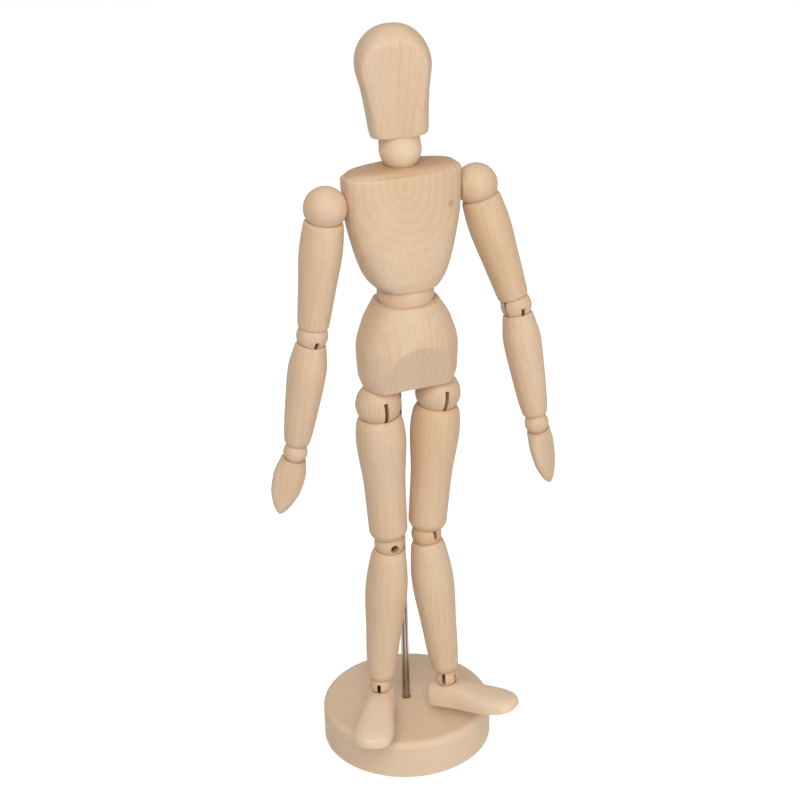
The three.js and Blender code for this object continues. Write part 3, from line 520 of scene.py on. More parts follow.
mouth = np.arcsin(BALL_MOUTH_R / (WAIST_D / 2))
waist_profile = np.vstack([arc(WAIST_D / 2, mouth, np.pi - mouth, WAIST_ROWS), [[BORE_R, 0]]])
dress("waist_ball", revolve(waist_profile, BALL_ROUND), loop=True)

neck_r = NECK_D / 2
neck_h = np.linalg.norm(pivot("head_turn") - pivot("neck_nod")) / MM
neck_top = neck_h + NECK_IN_HEAD - CUP_GAP
neck_skin = arc(neck_r, np.pi - np.arcsin(BORE_R / neck_r), np.arcsin(NECK_BARREL_R / neck_r), NECK_ROWS)
neck_end = [[NECK_BARREL_R, neck_top - NECK_END], [NECK_BARREL_R - NECK_END, neck_top], [BORE_R, neck_top]]
dress("neck", revolve(np.vstack([neck_skin, neck_end]), BALL_ROUND), loop=True)

# %% [markdown]
# The trunk is carved, not turned: level rings that are squarer than an ellipse, wider or narrower with
# height. Each outline row gives a height, a half width and a half depth as shares. The chest has flat
# sides for the shoulders and a crisp edge under its domed top, so the rows crowd towards that edge.

# %% Chest
CHEST_HALF_W, CHEST_HALF_D, CHEST_H, CHEST_DOME = 23.0, 12.7, 44.5, 2.2
CHEST_OUTLINE = np.array([
    [0, 0.52, 0.93], [0.07, 0.64, 0.97], [0.17, 0.74, 0.98], [0.4, 0.88, 0.95], [0.65, 0.98, 0.89],
    [1, 1.03, 0.81],
]).T
DOME_OUTLINE = np.array([[0.55, 0.92, 0.7], [0.9, 0.72, 0.61], [1, 0.45, 0.55]]).T
EDGE_ROUND, CHEST_ROUND, CHEST_BORE_R = 0.5, 1.4, 2.6
CHEST_POWER, DOME_POWER_LESS = 2.6, 0.4
HOLLOW_ROWS, CHEST_ROWS, EDGE_ROWS, DOME_ROWS = 24, 80, 12, 40
RIM_BAND, EDGE_BAND = 0.006, 0.042

waist_cup, trunk_rim = WAIST_D / 2 + CUP_GAP, WAIST_SEAT * WAIST_D / 2
neck_cup, neck_rim = neck_r + CUP_GAP, NECK_SEAT * neck_r
cup_start, cup_end = np.arcsin(CHEST_BORE_R / waist_cup), np.arccos(trunk_rim / waist_cup)
waist_hollow = revolve(arc(waist_cup, cup_start, cup_end, HOLLOW_ROWS), FINE_ROUND)

to_edge = 1 - EDGE_BAND * np.linspace(1, 0, EDGE_ROWS) ** 2
rise = np.r_[0, RIM_BAND, np.linspace(0.02, 0.95, CHEST_ROWS), to_edge]
rise_w, rise_d = (through(rise, CHEST_OUTLINE[0], row) for row in CHEST_OUTLINE[1:])
below_edge = np.clip((1 - rise) * CHEST_H, 0, CHEST_ROUND)
chest_inset = CHEST_ROUND - np.sqrt(CHEST_ROUND**2 - (CHEST_ROUND - below_edge) ** 2)
chest_inset += EDGE_ROUND * (rise == 0)
chest_w, chest_d = rise_w * CHEST_HALF_W - chest_inset, rise_d * CHEST_HALF_D - chest_inset
chest_sides = ovals(trunk_rim + rise * CHEST_H, chest_w, chest_d, CHEST_POWER)

chest_edge = trunk_rim + CHEST_H
dome = np.linspace(0.04, 1, DOME_ROWS)
dome_up = np.append(0, DOME_OUTLINE[0])
edge_w, edge_d = np.abs(chest_sides[-1]).max(0)[:2]
dome_w = through(dome, dome_up, np.append(edge_w, DOME_OUTLINE[1] * CHEST_HALF_W))
dome_d = through(dome, dome_up, np.append(edge_d, DOME_OUTLINE[2] * CHEST_HALF_D))
chest_dome = ovals(chest_edge + dome * CHEST_DOME, dome_w, dome_d, CHEST_POWER - DOME_POWER_LESS * dome)
neck_z = chest_edge + CHEST_DOME + neck_rim
neck_start, neck_stop = np.pi - np.arccos(neck_rim / neck_cup), np.pi - np.arcsin(CHEST_BORE_R / neck_cup)
neck_hollow = revolve(arc(neck_cup, neck_start, neck_stop, HOLLOW_ROWS, (0, neck_z)), FINE_ROUND)

chest = np.vstack([waist_hollow, chest_sides, chest_dome, neck_hollow])
chest[..., 0] = np.clip(chest[..., 0], -CHEST_HALF_W, CHEST_HALF_W)
dress("chest", chest, loop=True)

# %% [markdown]
# The pelvis is drawn from the bottom of its bore up through the waist hollow, down its sides and in
# again over its underside. The flat low on its front is a plane that pushes the front points back,
# which leaves the half-round edge of a real cut.

# %% Pelvis
PELVIS_HALF_W, PELVIS_HALF_D, PELVIS_H, PELVIS_SEAT = 20.5, 15.5, 34.4, 0.82
PELVIS_OUTLINE = np.array([
    [0, 0.88, 0.87], [0.15, 0.96, 0.94], [0.45, 0.98, 1], [0.75, 0.85, 0.93], [1, 0.61, 0.8],
]).T
FACET_TOP, FACET_IN = 0.58, 6.2
PELVIS_PIN_UP, PAST_PELVIS_PIN = 0.36, 2.0
PELVIS_POWER, PELVIS_ROWS, UNDER_ROWS = 2.2, 120, 60

pelvis_low = PELVIS_SEAT * HIP_D / 2
bore_end = pelvis_low + PELVIS_PIN_UP * PELVIS_H - PAST_PELVIS_PIN * BORE_R
bore = revolve([[LEAST_R, bore_end], [BORE_R, bore_end]], FINE_ROUND)
waist_z = pelvis_low + PELVIS_H + trunk_rim
pelvis_cup = cup_over(waist_cup, trunk_rim, HOLLOW_ROWS, centre_z=waist_z)
pelvis_hollow = revolve(pelvis_cup, FINE_ROUND)

height = 1 - np.r_[0, RIM_BAND, np.linspace(0.016, 0.985, PELVIS_ROWS), 0.992, 1]
side_w, side_d = (through(height, PELVIS_OUTLINE[0], row) for row in PELVIS_OUTLINE[1:])
pelvis_inset = EDGE_ROUND * ((height == 0) + (height == 1))
pelvis_w, pelvis_d = side_w * PELVIS_HALF_W - pelvis_inset, side_d * PELVIS_HALF_D - pelvis_inset
pelvis_sides = ovals(pelvis_low + height * PELVIS_H, pelvis_w, pelvis_d, PELVIS_POWER)
shrink = np.linspace(0.985, 0.02, UNDER_ROWS)
pelvis_under = ovals(pelvis_low, shrink * pelvis_w[-1], shrink * side_d[-1] * PELVIS_HALF_D, PELVIS_POWER)

pelvis = np.vstack([bore, pelvis_hollow, pelvis_sides, pelvis_under])
above_low = np.clip(pelvis[..., 2] - pelvis_low, 0, None)
facet = -PELVIS_HALF_D + FACET_IN * (1 - above_low / (FACET_TOP * PELVIS_H))
outside = np.arange(len(pelvis)) >= len(bore) + len(pelvis_hollow)
pelvis[..., 1] = np.where(outside[:, None], np.maximum(pelvis[..., 1], facet), pelvis[..., 1])
print("pelvis rows:", len(pelvis))

# %% [markdown]
# Underneath, the pelvis is hollowed for the two hip balls and drilled for the rod. The bottom rows lift
# to the ball's sphere wherever they lie inside it, and to the hole's depth where they lie in the hole.

# %% The underside of the pelvis
ROD_HOLE_SEEN = 3.0

hip_cup = HIP_D / 2 + CUP_GAP
hip_out = (pivot("left_leg_spread")[0] - pivot("right_leg_spread")[0]) / MM / 2
rod_y = -hip_middle[1] / MM
under = pelvis[-UNDER_ROWS:]
for middle in (-hip_out, hip_out):
    hip_reach = hip_cup**2 - (under[..., 0] - middle) ** 2 - under[..., 1] ** 2
    under[..., 2] = np.maximum(under[..., 2], np.sqrt(np.clip(hip_reach, 0, None)))
by_rod = np.hypot(under[..., 0], under[..., 1] - rod_y) < rod_hole
under[..., 2] = np.where(by_rod, pelvis_low + ROD_HOLE_SEEN, under[..., 2])
dress("pelvis", pelvis)

# %% [markdown]
# The head is an egg with its underside sawn flat for the neck and its face planed to one blank flat.
# The upper part is a quarter of an ellipse in height, so the crown is smooth right to the top. A sharp
# flat would be the larger of two depths. Its edge is sanded, so a smooth maximum is taken: half their
# sum, and half the long side of a right triangle on their difference.

# %% Head
HEAD_HALF_W, HEAD_HALF_D, HEAD_H = 14.0, 14.8, 39.8
HEAD_OUTLINE = np.array([
    [0, 0.77, 0.7], [0.03, 0.79, 0.75], [0.2, 0.83, 0.81], [0.42, 0.9, 0.92], [0.53, 0.958, 0.966],
    [0.6, 0.994, 0.995], [0.64, 1, 1],
]).T
CROWN_FROM = 0.64
FACE_BACK, FACE_SLOPE, FACE_SOFT = 8.9, 3.0, 1.4
HEAD_POWER, JAW_ROWS, CROWN_ROWS = 2.7, 80, 64

socket_r = NECK_BARREL_R + CUP_GAP
socket = revolve([[LEAST_R, NECK_IN_HEAD], [socket_r, NECK_IN_HEAD], [socket_r, 0]], FINE_ROUND)
jaw = np.r_[0, 0.004, np.linspace(0.04, CROWN_FROM, JAW_ROWS)]
jaw_w, jaw_d = (through(jaw, HEAD_OUTLINE[0], row) for row in HEAD_OUTLINE[1:])
over = np.linspace(0.02, np.pi / 2 - 0.01, CROWN_ROWS)
head_up = np.r_[jaw, CROWN_FROM + (1 - CROWN_FROM) * np.sin(over)] * HEAD_H
head_w = np.r_[jaw_w, np.cos(over)] * HEAD_HALF_W
head_d = np.r_[jaw_d, np.cos(over)] * HEAD_HALF_D
egg = ovals(head_up, head_w, head_d, HEAD_POWER)
face = -FACE_BACK - egg[..., 2] * np.tan(np.radians(FACE_SLOPE))
before_face = egg[..., 1] - face
egg[..., 1] = face + (before_face + np.hypot(before_face, FACE_SOFT)) / 2
dress("head", np.vstack([socket, egg]))

# %% [markdown]
# A hand is a leaf: hollowed for the wrist ball, broad below it and thin at the tip. It is a stack of
# ovals too, from the bore through the hollow to the tip. Both hands are the same.

# %% Hands
HAND_L, HAND_HALF_W, HAND_HALF_T = 28.0, 6.4, 4.0
HAND_PIN_DOWN, PAST_HAND_PIN = 0.42, 1.4
HAND_OUTLINE = np.array([
    [0, 0.78, 1.06], [0.3, 1, 0.9], [0.55, 0.93, 0.72], [0.82, 0.58, 0.5], [0.96, 0.24, 0.26],
    [1, 0.06, 0.08],
]).T
HAND_POWER, HAND_ROWS, HAND_ROUND = 2.2, 72, 96

wrist_cup, wrist_rim, _ = cup_of(WRIST_D, LIMB_SEAT)
hand_bore_end = -HAND_PIN_DOWN * HAND_L - PAST_HAND_PIN * BORE_R
hand_bore = revolve([[LEAST_R, hand_bore_end], [BORE_R, hand_bore_end]], HAND_ROUND)
hand_hollow = revolve(cup_over(wrist_cup, wrist_rim, CUP_ROWS), HAND_ROUND)
fall = crowded(HAND_ROWS)
hand_w, hand_t = (through(fall, HAND_OUTLINE[0], row) for row in HAND_OUTLINE[1:])
hand_z = -wrist_rim - fall * (HAND_L - wrist_rim)
hand_leaf = ovals(hand_z, hand_w * HAND_HALF_W, hand_t * HAND_HALF_T, HAND_POWER, HAND_ROUND)
hand = np.vstack([hand_bore, hand_hollow, hand_leaf])
print("hand rows:", len(hand))

# %% [markdown]
# A foot has a flat sole, stands high round the ankle ball and grows broad and thin towards the toe. Its
# rows run from heel to toe, and each is a squared arch closed by the straight line of the sole. Points
# inside the ankle ball's sphere drop to it, which makes the hollow.

# %% Feet
FOOT_HALF_W, FOOT_TOE, FOOT_HEEL, ANKLE_H = 8.2, 31.0, 9.0, 11.5
FOOT_OUTLINE = np.array([
    [0, 0.5, 0.6], [0.05, 0.64, 0.76], [0.21, 0.72, 0.8], [0.36, 0.76, 0.78], [0.55, 0.9, 0.65],
    [0.76, 1, 0.51], [0.91, 0.86, 0.41], [0.98, 0.54, 0.32], [1, 0.26, 0.24],
]).T
FOOT_SQUARE, SOLE_WIDTH = 0.7, 0.98
FOOT_ROWS, ARCH_POINTS, SOLE_POINTS = 110, 60, 24

run = crowded(FOOT_ROWS)
foot_w, foot_h = (through(run, FOOT_OUTLINE[0], row)[:, None] for row in FOOT_OUTLINE[1:])
arch = np.linspace(0, np.pi, ARCH_POINTS)
arch_x = np.sign(np.cos(arch)) * np.abs(np.cos(arch)) ** FOOT_SQUARE
arch_z = np.sin(arch).clip(0) ** FOOT_SQUARE
sole_x = np.linspace(-SOLE_WIDTH, SOLE_WIDTH, SOLE_POINTS)
foot_x = foot_w * FOOT_HALF_W * np.r_[arch_x, sole_x]
foot_z = -ANKLE_H + foot_h * ANKLE_H * np.r_[arch_z, 0 * sole_x]
foot_y = FOOT_HEEL - run[:, None] * (FOOT_HEEL + FOOT_TOE) + 0 * foot_x
ankle_reach = (ANKLE_D / 2 + CUP_GAP) ** 2 - foot_x**2 - foot_y**2
ankle_z = -np.sqrt(np.clip(ankle_reach, 0, None))
foot_z = np.where(ankle_reach > 0, np.minimum(foot_z, ankle_z), foot_z)
foot = np.stack([foot_x, foot_y, np.maximum(foot_z, -ANKLE_H)], axis=-1)
for side in SIDES:
    dress(side + "_hand", hand)
    dress(side + "_foot", foot)

# %% [markdown]
# Thin tension springs hold the figure together and show in the slits. Each is one wire: a hook over the
# upper pin, a straight leg, close curls through the ball, a leg and a hook. A helix along a line that
# bends gives the curls, and a tube along the whole path gives the wire.

# %% The wire of a spring
WIRE_R, COIL_R, PIN_R, HOOK_GAP = 0.225, 0.55, 0.6, 0.3
HOOK_R = PIN_R + HOOK_GAP + WIRE_R
HOOK_FROM, HOOK_TO, HOOK_POINTS, LEG_POINTS = -20, 180, 20, 8
CURL_PITCH, CURL_STEPS, WIRE_SIDES = 0.65, 16, 8
PIN_AXIS = {"hand": 0, "foot": 0, "head": 0, "pelvis": 0}


def hook_end(bone, centre, shift):
    """Part of a circle round a bone's pin, the way from the ball to the pin, and the leg's side."""
    low, high = (np.array(corner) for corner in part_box(bone + "_pin"))
    middle = (low + high) / 2 / MM
    along = PLACE[bone][1][:, PIN_AXIS.get(bone.split("_")[-1], 1)]
    seat = middle + along * ((centre - middle) @ along)
    pull = unit(seat - centre)
    side = unit(np.cross(along, pull))
    angle = np.radians(np.linspace(HOOK_FROM, HOOK_TO, HOOK_POINTS))[:, None]
    points = seat + along * shift + HOOK_R * (side * np.cos(angle) + pull * np.sin(angle))
    return points, pull, -side


def squared_up(direction, along):
    """A direction made square to each step of a path, with length 1."""
    square = direction - (along @ direction)[:, None] * along
    return square / np.linalg.norm(square, axis=1, keepdims=True)


def steps_of(path):
    """Unit vectors along a path, from the differences of its points."""
    along = np.gradient(path, axis=0)
    return along / np.linalg.norm(along, axis=1, keepdims=True)


def spring_path(centre, upper, lower, reach):
    """Hook, leg, curls, leg, hook. The curls circle a quadratic curve that bends in the ball."""
    (top, up, out), (foot_end, down, _) = upper, lower
    count = int(2 * reach / CURL_PITCH) * CURL_STEPS
    t = np.linspace(0, 1, count + 1)[:, None]
    line = centre + reach * ((1 - t) ** 2 * up + t**2 * down)
    along = steps_of(line)
    first = squared_up(out, along)
    angle = 2 * np.pi * np.arange(count + 1)[:, None] / CURL_STEPS
    coil = line + COIL_R * (first * np.cos(angle) + np.cross(along, first) * np.sin(angle))
    leg = np.linspace(0, 1, LEG_POINTS)[1:-1, None]
    upper_leg = top[-1] + leg * (coil[0] - top[-1])
    lower_leg = coil[-1] + leg * (foot_end[-1] - coil[-1])
    return np.vstack([top, upper_leg, coil, lower_leg, foot_end[::-1]])


def wire(path, lean):
    """A tube: a circle of points round each path point, square to the path, started from one lean."""
    along = steps_of(path)
    first = squared_up(lean, along)
    second = np.cross(along, first)
    angle = (2 * np.pi * np.arange(WIRE_SIDES) / WIRE_SIDES)[:, None]
    return path[:, None] + WIRE_R * (first[:, None] * np.cos(angle) + second[:, None] * np.sin(angle))


print("wire", 2 * WIRE_R, "mm thick, curls", 2 * COIL_R, "mm across")

# %% [markdown]
# A spring is made in two halves that meet in the ball, and each half runs from the ball over to the
# limb that its hook hangs in.

# %% Springs
LONG, SHORT = 7.5, 4.5
HOOK_SHIFT, SHOULDER_HOOK_SHIFT = 0.5, 1.5
LEAN_UP, LEAN_OUT, LEAN_ASIDE = 0.75, -0.66, 0.02


def add_spring(name, path, lean, node):
    """One half of a spring, made in the shared frame; the spring's solid is hidden."""
    piece = mesh_from_grid(name, wire(path, lean), PLACE["base"])
    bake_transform(piece)
    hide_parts(node)
    return piece


def spring_of(ball, upper_bone, lower_bone, shifts, reach):
    """Two halves that meet in the ball's centre. Each runs from there over to the limb that its hook hangs
    in.
    """
    node = ball.replace("_ball", "") + "_spring"
    centre = PLACE[ball][0] / MM
    upper, lower = hook_end(upper_bone, centre, shifts[0]), hook_end(lower_bone, centre, shifts[1])
    path = spring_path(centre, upper, lower, reach)
    (_, up, out), (_, down, _) = upper, lower
    lean = unit(LEAN_UP * up + LEAN_OUT * out + LEAN_ASIDE * np.cross(up, out))
    half = len(path) // 2
    top = add_spring(node + "_upper", path[: half + 1], lean, node)
    low = add_spring(node + "_lower", path[half:], lean, node)
    return [top, low]


BOTH, UPPER, LOWER = (HOOK_SHIFT, -HOOK_SHIFT), (HOOK_SHIFT, 0), (0, -HOOK_SHIFT)
springs = spring_of("waist_ball", "chest", "pelvis", (-HOOK_SHIFT, 0), SHORT)
springs += spring_of("neck", "head", "chest", (0, HOOK_SHIFT), SHORT)
for side, sign in SIDES.items():
    limb, shoulder_shifts = side + "_", (SHOULDER_HOOK_SHIFT * sign, -HOOK_SHIFT)
    springs += spring_of(limb + "shoulder_ball", "chest", limb + "upper_arm", shoulder_shifts, SHORT)
    springs += spring_of(limb + "elbow_ball", limb + "upper_arm", limb + "forearm", BOTH, SHORT)
    springs += spring_of(limb + "wrist_ball", limb + "forearm", limb + "hand", UPPER, SHORT)
    springs += spring_of(limb + "hip_ball", "pelvis", limb + "thigh", LOWER, LONG)
    springs += spring_of(limb + "knee_ball", limb + "thigh", limb + "shin", BOTH, LONG)
    springs += spring_of(limb + "ankle_ball", limb + "shin", limb + "foot", UPPER, SHORT)
print("halves of springs:", len(springs))

# %% [markdown]
# A material is a small machine of nodes. Placing them by hand takes many lines, so one class adds a node
# and links it in the same call.

# %% Tools for materials
class Finish:
    """A material whose nodes are added one by one; a value that is a socket gets linked."""

    def __init__(self, name):
        self.material = bpy.data.materials.new(name)
        self.material.use_nodes = True
        self.tree = self.material.node_tree
        self.shader = self.tree.nodes["Principled BSDF"]

    def feed(self, socket, value):
        """Link a socket to a socket, or set its value."""
        if isinstance(value, bpy.types.NodeSocket):
            self.tree.links.new(value, socket)
        else:
            socket.default_value = value

    def add(self, kind, values, **settings):
        """A new node with its inputs fed; the answer is its outputs."""
        node = self.tree.nodes.new("ShaderNode" + kind)
        for key, value in settings.items():
            setattr(node, key, value)
        for key, value in values.items():
            self.feed(node.inputs[key], value)
        return node.outputs

    def shade(self, **values):
        """Feed inputs of the shader itself, with _ for a space in their names."""
        for key, value in values.items():
            self.feed(self.shader.inputs[key.replace("_", " ")], value)

    def math(self, operation, a, b=0.0):
        """One calculation with one or two numbers."""
        return self.add("Math", {0: a, 1: b}, operation=operation)[0]

    def times(self, a, b):
        """The product of two numbers."""
        return self.math("MULTIPLY", a, b)

    def vector(self, operation, a, b):
        """One calculation with two vectors."""
        return self.add("VectorMath", {0: a, 1: b}, operation=operation)[0]

    def noise(self, vector, scale, detail=2.0):
        """Noise on stretched coordinates: more per millimetre where the scale is larger."""
        stretched = self.vector("MULTIPLY", vector, scale)
        return self.add("TexNoise", {"Vector": stretched, "Scale": 1.0, "Detail": detail})

    def ramp(self, value, low, high):
        """0 below low, 1 above high, and a smooth step between."""
        return self.add("MapRange", {0: value, 1: low, 2: high}, interpolation_type="SMOOTHSTEP")[0]

    def mix(self, share, a, b):
        """A colour that goes from a to b as the share goes from 0 to 1."""
        return self.add("Mix", {0: share, 6: a, 7: b}, data_type="RGBA")[2]


print("tools:", *[name for name in vars(Finish) if name[0] != "_"])

# %% [markdown]
# The wood is a pale, close-grained kind, sanded and left almost bare. It is coloured as solid timber:
# growth rings round a pith, long fibres, short dark flecks and slow patches, all in millimetres along
# the piece. A Mapping node lays the pattern along the piece's own length. Inside a cut the colour is
# painted dark as shade, and the sheen is taken away, because hardly any light comes out again.

# %% The recipe for wood
PALE = (0.75, 0.556, 0.388, 1)
DEEP = (0.60, 0.40, 0.25, 1)
FLECK = (0.40, 0.225, 0.115, 1)
WARM = (0.66, 0.42, 0.225, 1)
# The colour below is painted shade on the chest's top, under the neck and head.
TOP_SHADE_COLOUR = (0.5, 0.3, 0.15, 1)
SAPWOOD = (0.85, 0.655, 0.465, 1)
# The dark colour below is painted shade inside the cuts of the balls.
CUT_SHADE_COLOUR = (0.03, 0.017, 0.009, 1)
DRIFT_PER_MM, SWAY_MM = (0.035, 0.035, 0.011), (5.0, 5.0, 0.0)
PATCH_PER_MM, FIBRE_PER_MM, DASH_PER_MM = (0.06, 0.06, 0.02), (1.5, 1.5, 0.03), (2.8, 2.8, 0.16)
RING_SHARE, FIBRE_SHARE, BLUSH_SHARE, DASH_SHARE = 0.3, 0.42, 0.35, 0.16
# The last two shares below set the painted shade on the chest's top and inside the cuts.
KNOT_SHARE, TOP_SHADE_SHARE, CUT_SHADE_SHARE = 0.55, 0.5, 0.95
LEAST_ROUGH, ROUGH_SPREAD, SHEEN = 0.42, 0.2, 0.35


def timber(finish, place, tilt, shift):
    """Object coordinates turned into millimetres along the piece, moved to its own part of the board."""
    origin, matrix = place
    inverse = turned_about("X", tilt) @ matrix.T
    values = {
        "Vector": finish.add("TexCoord", {})["Object"],
        "Location": tuple(np.array(shift) - inverse @ origin / MM),
        "Rotation": tuple(Matrix(inverse.tolist()).to_euler()),
        "Scale": (1 / MM,) * 3,
    }
    return finish.add("Mapping", values, vector_type="POINT")[0]


def growth_rings(finish, grain, pith, pitch):
    """Lines where the sine of the distance from the pith is high; a slow drift makes them sway."""
    sway = finish.vector("MULTIPLY", finish.noise(grain, DRIFT_PER_MM)["Color"], SWAY_MM)
    from_pith = finish.vector("SUBTRACT", finish.vector("ADD", grain, sway), (*pith, 0.0))
    level = finish.vector("MULTIPLY", from_pith, (1.0, 1.0, 0.0))
    radius = finish.add("VectorMath", {0: level}, operation="LENGTH")["Value"]
    return finish.ramp(finish.math("SINE", finish.times(radius, 2 * np.pi / pitch)), 0.1, 1.0)


def wood(name, place, pith, pitch, warm, tilt, shift, rings=1.0, pale=0.0, knot=None, top_shade_from=None):
    """Pale wood deepened by rings and fibres, warmed in patches, flecked, with painted shade in its cuts and,
    when asked, on its top.
    """
    finish = Finish(name)
    grain = timber(finish, place, tilt, shift)
    patch = finish.noise(grain, PATCH_PER_MM, 3.0)["Fac"]
    fibre = finish.noise(grain, FIBRE_PER_MM, 5.0)["Fac"]
    dash = finish.ramp(finish.noise(grain, DASH_PER_MM)["Fac"], 0.64, 0.74)
    ring_share = finish.times(finish.ramp(patch, 0.3, 0.7), RING_SHARE * rings)
    ring = finish.times(growth_rings(finish, grain, pith, pitch), ring_share)
    depth = finish.math("ADD", finish.times(finish.ramp(fibre, 0.25, 0.8), FIBRE_SHARE), ring)
    blush = finish.times(finish.ramp(patch, 0.35, 0.75), BLUSH_SHARE)
    colour = finish.mix(depth, PALE, DEEP)
    colour = finish.mix(finish.math("ADD", blush, warm), colour, WARM)
    colour = finish.mix(finish.times(dash, DASH_SHARE), colour, FLECK)
    colour = finish.mix(pale, colour, SAPWOOD)
    if knot:
        away = finish.add("VectorMath", {0: grain, 1: knot}, operation="DISTANCE")["Value"]
        near = finish.math("SUBTRACT", 1.0, finish.ramp(away, 0.3, 2.4))
        colour = finish.mix(finish.times(near, KNOT_SHARE), colour, FLECK)
    # Painted shade: above the given height the top is mixed towards a darker, browner tone.
    if top_shade_from:
        height = finish.add("SeparateXYZ", {0: timber(finish, place, 0.0, (0.0, 0.0, 0.0))})["Z"]
        top_shade = finish.times(finish.ramp(height, top_shade_from - 0.2, top_shade_from + 0.7), TOP_SHADE_SHARE)
        colour = finish.mix(top_shade, colour, TOP_SHADE_COLOUR)
    # Painted shade: inside a cut the colour is mixed towards a dark tone and the sheen is turned off.
    inside = finish.add("Attribute", {}, attribute_name="hollow")["Fac"]
    finish.shade(
        Base_Color=finish.mix(finish.times(inside, CUT_SHADE_SHARE), colour, CUT_SHADE_COLOUR),
        Roughness=finish.math("ADD", finish.times(fibre, ROUGH_SPREAD), LEAST_ROUGH),
        Specular_IOR_Level=finish.times(finish.math("SUBTRACT", 1.0, inside), SHEEN),
        Normal=finish.add("Bump", {"Strength": 0.22, "Distance": 0.00006, "Height": fibre})[0],
    )
    return finish.material


print("wood: rings", RING_SHARE, "and fibres", FIBRE_SHARE, "of the way from pale to deep")

# %% [markdown]
# Each piece was cut from its own bit of board, so pith, ring spacing, tilt and warmth differ from piece
# to piece. Most are drawn from a seeded generator, which gives the same boards on every run. The large
# pieces are set: on the chest the pith leans out through the upper front, so its rings show as bowls.

# %% A board for each piece
PLAIN_WARMTH = 0.12
# The left knee ball's strong warmth is partly its own tone and partly painted shade and reflected warm light.
WARMTH = {
    "neck": 0.16, "left_upper_arm": 0.4, "left_knee_ball": 0.8, "right_knee_ball": 0.45,
    "left_thigh": 0.3, "left_foot": 0.02, "right_foot": 0.0, "head": 0.06, "chest": 0.08,
    "pelvis": 0.06, "right_shin": 0.14, "left_elbow_ball": 0.4, "right_ankle_ball": 0.5,
    "left_ankle_ball": 0.5, "waist_ball": 0.16,
}
CHOSEN = {
    # From its upper edge up, the chest's top gets painted shade.
    "chest": {
        "pith": (0.5, 26.5), "pitch": 3.1, "tilt": -45.0, "rings": 1.15, "shift": (0, 0, 0),
        "knot": (16.0, 17.6, 31.0), "top_shade_from": chest_edge,
    },
    "pelvis": {"pith": (60.0, 20.0), "pitch": 2.4, "tilt": 3.0},
    "head": {"pith": (40.0, 30.0), "pitch": 2.2, "tilt": 4.0},
    "base": {"pith": (18.0, -30.0), "pitch": 2.8, "tilt": 88.0, "rings": 0.5, "pale": 0.45},
    "neck": {"pale": 0.5},
    "right_foot": {"pith": (30.0, 24.0), "tilt": 86.0, "pale": 0.6},
    "left_foot": {"pith": (-28.0, 26.0), "tilt": 86.0, "pale": 0.7},
}
boards = np.random.default_rng(7)
for node, place in PLACE.items():
    look = {
        "pith": tuple(boards.uniform(22, 44, 2) * boards.choice([-1, 1], 2)),
        "pitch": boards.uniform(1.9, 2.9),
        "tilt": boards.uniform(-3, 3),
        "shift": tuple(boards.uniform(-200, 200, 3) * [0, 0, 1]),
        "warm": WARMTH.get(node, PLAIN_WARMTH),
    }
    look.update(CHOSEN.get(node, {}))
    bpy.data.objects[node + "_skin"].data.materials.append(wood(node + "_wood", place, **look))
print("boards:", len(PLACE), "of which set by hand:", len(CHOSEN))

# %% [markdown]
# The rod is drawn steel, bright with faint lengthwise lines. The springs and the pins inside are duller
# wire. Both are metal all through, with the roughness broken up a little.

# %% Steel
LINE_SHADE, LINE_ROUGH = 0.72, 0.16


def steel(name, colour, rough, stretch):
    """Metal whose tone and roughness follow one stretched noise."""
    finish = Finish(name)
    lines = finish.noise(finish.add("TexCoord", {})["Object"], stretch, 3.0)["Fac"]
    darker = tuple(LINE_SHADE * part for part in colour[:3]) + (1,)
    finish.shade(
        Base_Color=finish.mix(finish.ramp(lines, 0.3, 0.75), colour, darker),
        Roughness=finish.math("ADD", finish.times(lines, LINE_ROUGH), rough),
        Metallic=1.0,
    )
    return finish.material


rod_steel = steel("rod_steel", (0.42, 0.35, 0.29, 1), 0.18, (1800, 1800, 30))
wire_steel = steel("wire_steel", (0.34, 0.30, 0.26, 1), 0.3, (900, 900, 900))
bpy.data.objects["stand_rod_skin"].data.materials.append(rod_steel)
for coil in springs:
    coil.data.materials.append(wire_steel)
pins = [piece for node, piece in frame["nodes"].items() if node.endswith("_pin")]
for pin in pins:
    pin.data.materials.clear()
    pin.data.materials.append(wire_steel)
print("steel: 1 rod,", len(springs), "halves of springs,", len(pins), "pins")

# %% [markdown]
# The picture is a plain studio shot on white. The floor is a wide pale plane that glows a little, so it
# stays white in the picture without more light on the wood. It is stage, and no part of the figure.

# %% Floor
FLOOR_SIZE, FLOOR_DROP = 12.0, 0.0002

floor_finish = Finish("floor_white")
floor_finish.shade(
    Base_Color=(0.93, 0.93, 0.93, 1), Roughness=0.9, Emission_Color=(1, 1, 1, 1), Emission_Strength=0.55,
)
corners = [(x, y, -FLOOR_DROP) for x, y in ((-1, -1), (1, -1), (1, 1), (-1, 1))]
floor_mesh = bpy.data.meshes.new("floor")
floor_mesh.from_pydata(np.multiply(corners, [FLOOR_SIZE / 2, FLOOR_SIZE / 2, 1]).tolist(), [], [(0, 1, 2, 3)])
floor = bpy.data.objects.new("floor", floor_mesh)
floor.data.materials.append(floor_finish.material)
scene.collection.objects.link(floor)
floor.visible_diffuse = False
print("floor:", FLOOR_SIZE, "m wide")

# %% [markdown]
# One broad soft light stands near the camera, with weaker ones from the side and from above, so that the
# shadows stay soft. A weak even glow from all round lifts the darkest corners.

# %% Lights
FIGURE_MIDDLE = (0.0, 0.0, 0.17)
ALL_ROUND = 0.35


def look_along(towards):
    """A turn that points -Z along a direction, with its X level."""
    right = unit(np.cross(towards, [0, 0, 1]))
    return np.stack([right, np.cross(right, towards), -towards], axis=1).tolist()


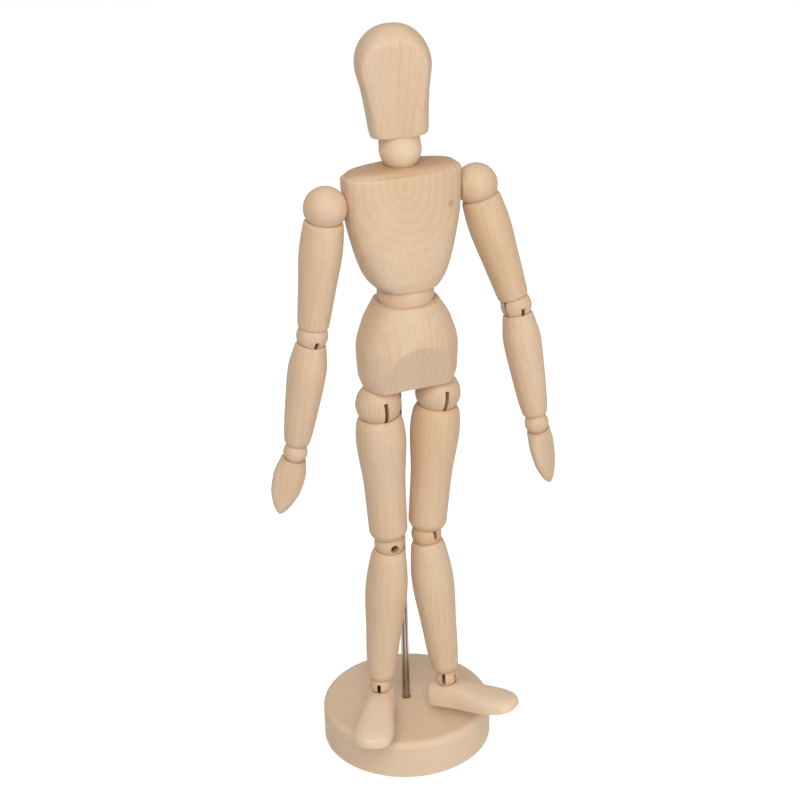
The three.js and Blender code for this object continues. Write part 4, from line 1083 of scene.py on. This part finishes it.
def softbox(name, place, watts, size):
    """A round lamp that faces the middle of the figure."""
    light = bpy.data.lights.new(name, "AREA")
    light.energy, light.size, light.shape = watts, size, "DISK"
    lamp = bpy.data.objects.new(name, light)
    towards = unit(np.array(FIGURE_MIDDLE) - np.array(place))
    lamp.matrix_world = Matrix.Translation(place) @ Matrix(look_along(towards)).to_4x4()
    scene.collection.objects.link(lamp)


softbox("key", (-0.6, -1.2, 1.2), 17.2, 1.3)
softbox("fill", (0.5, -1.5, 0.35), 7.4, 1.0)
softbox("top", (-0.1, 0.4, 1.7), 4.0, 1.4)
world = bpy.data.worlds.new("studio")
world.use_nodes = True
glow = world.node_tree.nodes["Background"]
glow.inputs["Color"].default_value = (1, 1, 1, 1)
glow.inputs["Strength"].default_value = ALL_ROUND
scene.world = world
scene.view_settings.view_transform = "Standard"
print("lamps:", len(bpy.data.lights))

# %% [markdown]
# The camera stands where the photographer stood: worked out from the round base, which shows the height
# of the view, and from the known size of the figure. It looks down a little and is tipped slightly.

# %% Camera
CAMERA_TURN, CAMERA_BACK, CAMERA_HIGH, CAMERA_ASIDE = -22.5, 0.64796, 0.45422, 0.00024
CAMERA_PITCH, CAMERA_YAW, CAMERA_ROLL = 24.68, 0.06, -1.64
FOCAL_PIXELS, PICTURE_PIXELS, SENSOR = 1797.7, 800, 36.0
NEAREST = 0.01

around = turned_about("Z", CAMERA_TURN)
pitch, yaw, roll = np.radians([CAMERA_PITCH, CAMERA_YAW, CAMERA_ROLL])
ahead = around @ [np.sin(yaw) * np.cos(pitch), np.cos(yaw) * np.cos(pitch), -np.sin(pitch)]
level_right = around @ [np.cos(yaw), -np.sin(yaw), 0]
level_up = np.cross(level_right, ahead)
right = np.cos(roll) * level_right + np.sin(roll) * level_up
up = -np.sin(roll) * level_right + np.cos(roll) * level_up
lens = bpy.data.cameras.new("camera")
lens.sensor_width = SENSOR
lens.lens = FOCAL_PIXELS / PICTURE_PIXELS * SENSOR
lens.clip_start = NEAREST
camera = bpy.data.objects.new("camera", lens)
eye = around @ [CAMERA_ASIDE, -CAMERA_BACK, CAMERA_HIGH]
facing = Matrix(np.stack([right, up, -ahead], axis=1).tolist())
camera.matrix_world = Matrix.Translation(eye) @ facing.to_4x4()
scene.collection.objects.link(camera)
scene.camera = camera
print("camera at", np.round(eye, 3), "lens", round(lens.lens, 1), "mm")

# %% [markdown]
# Blender adds looks and not size.
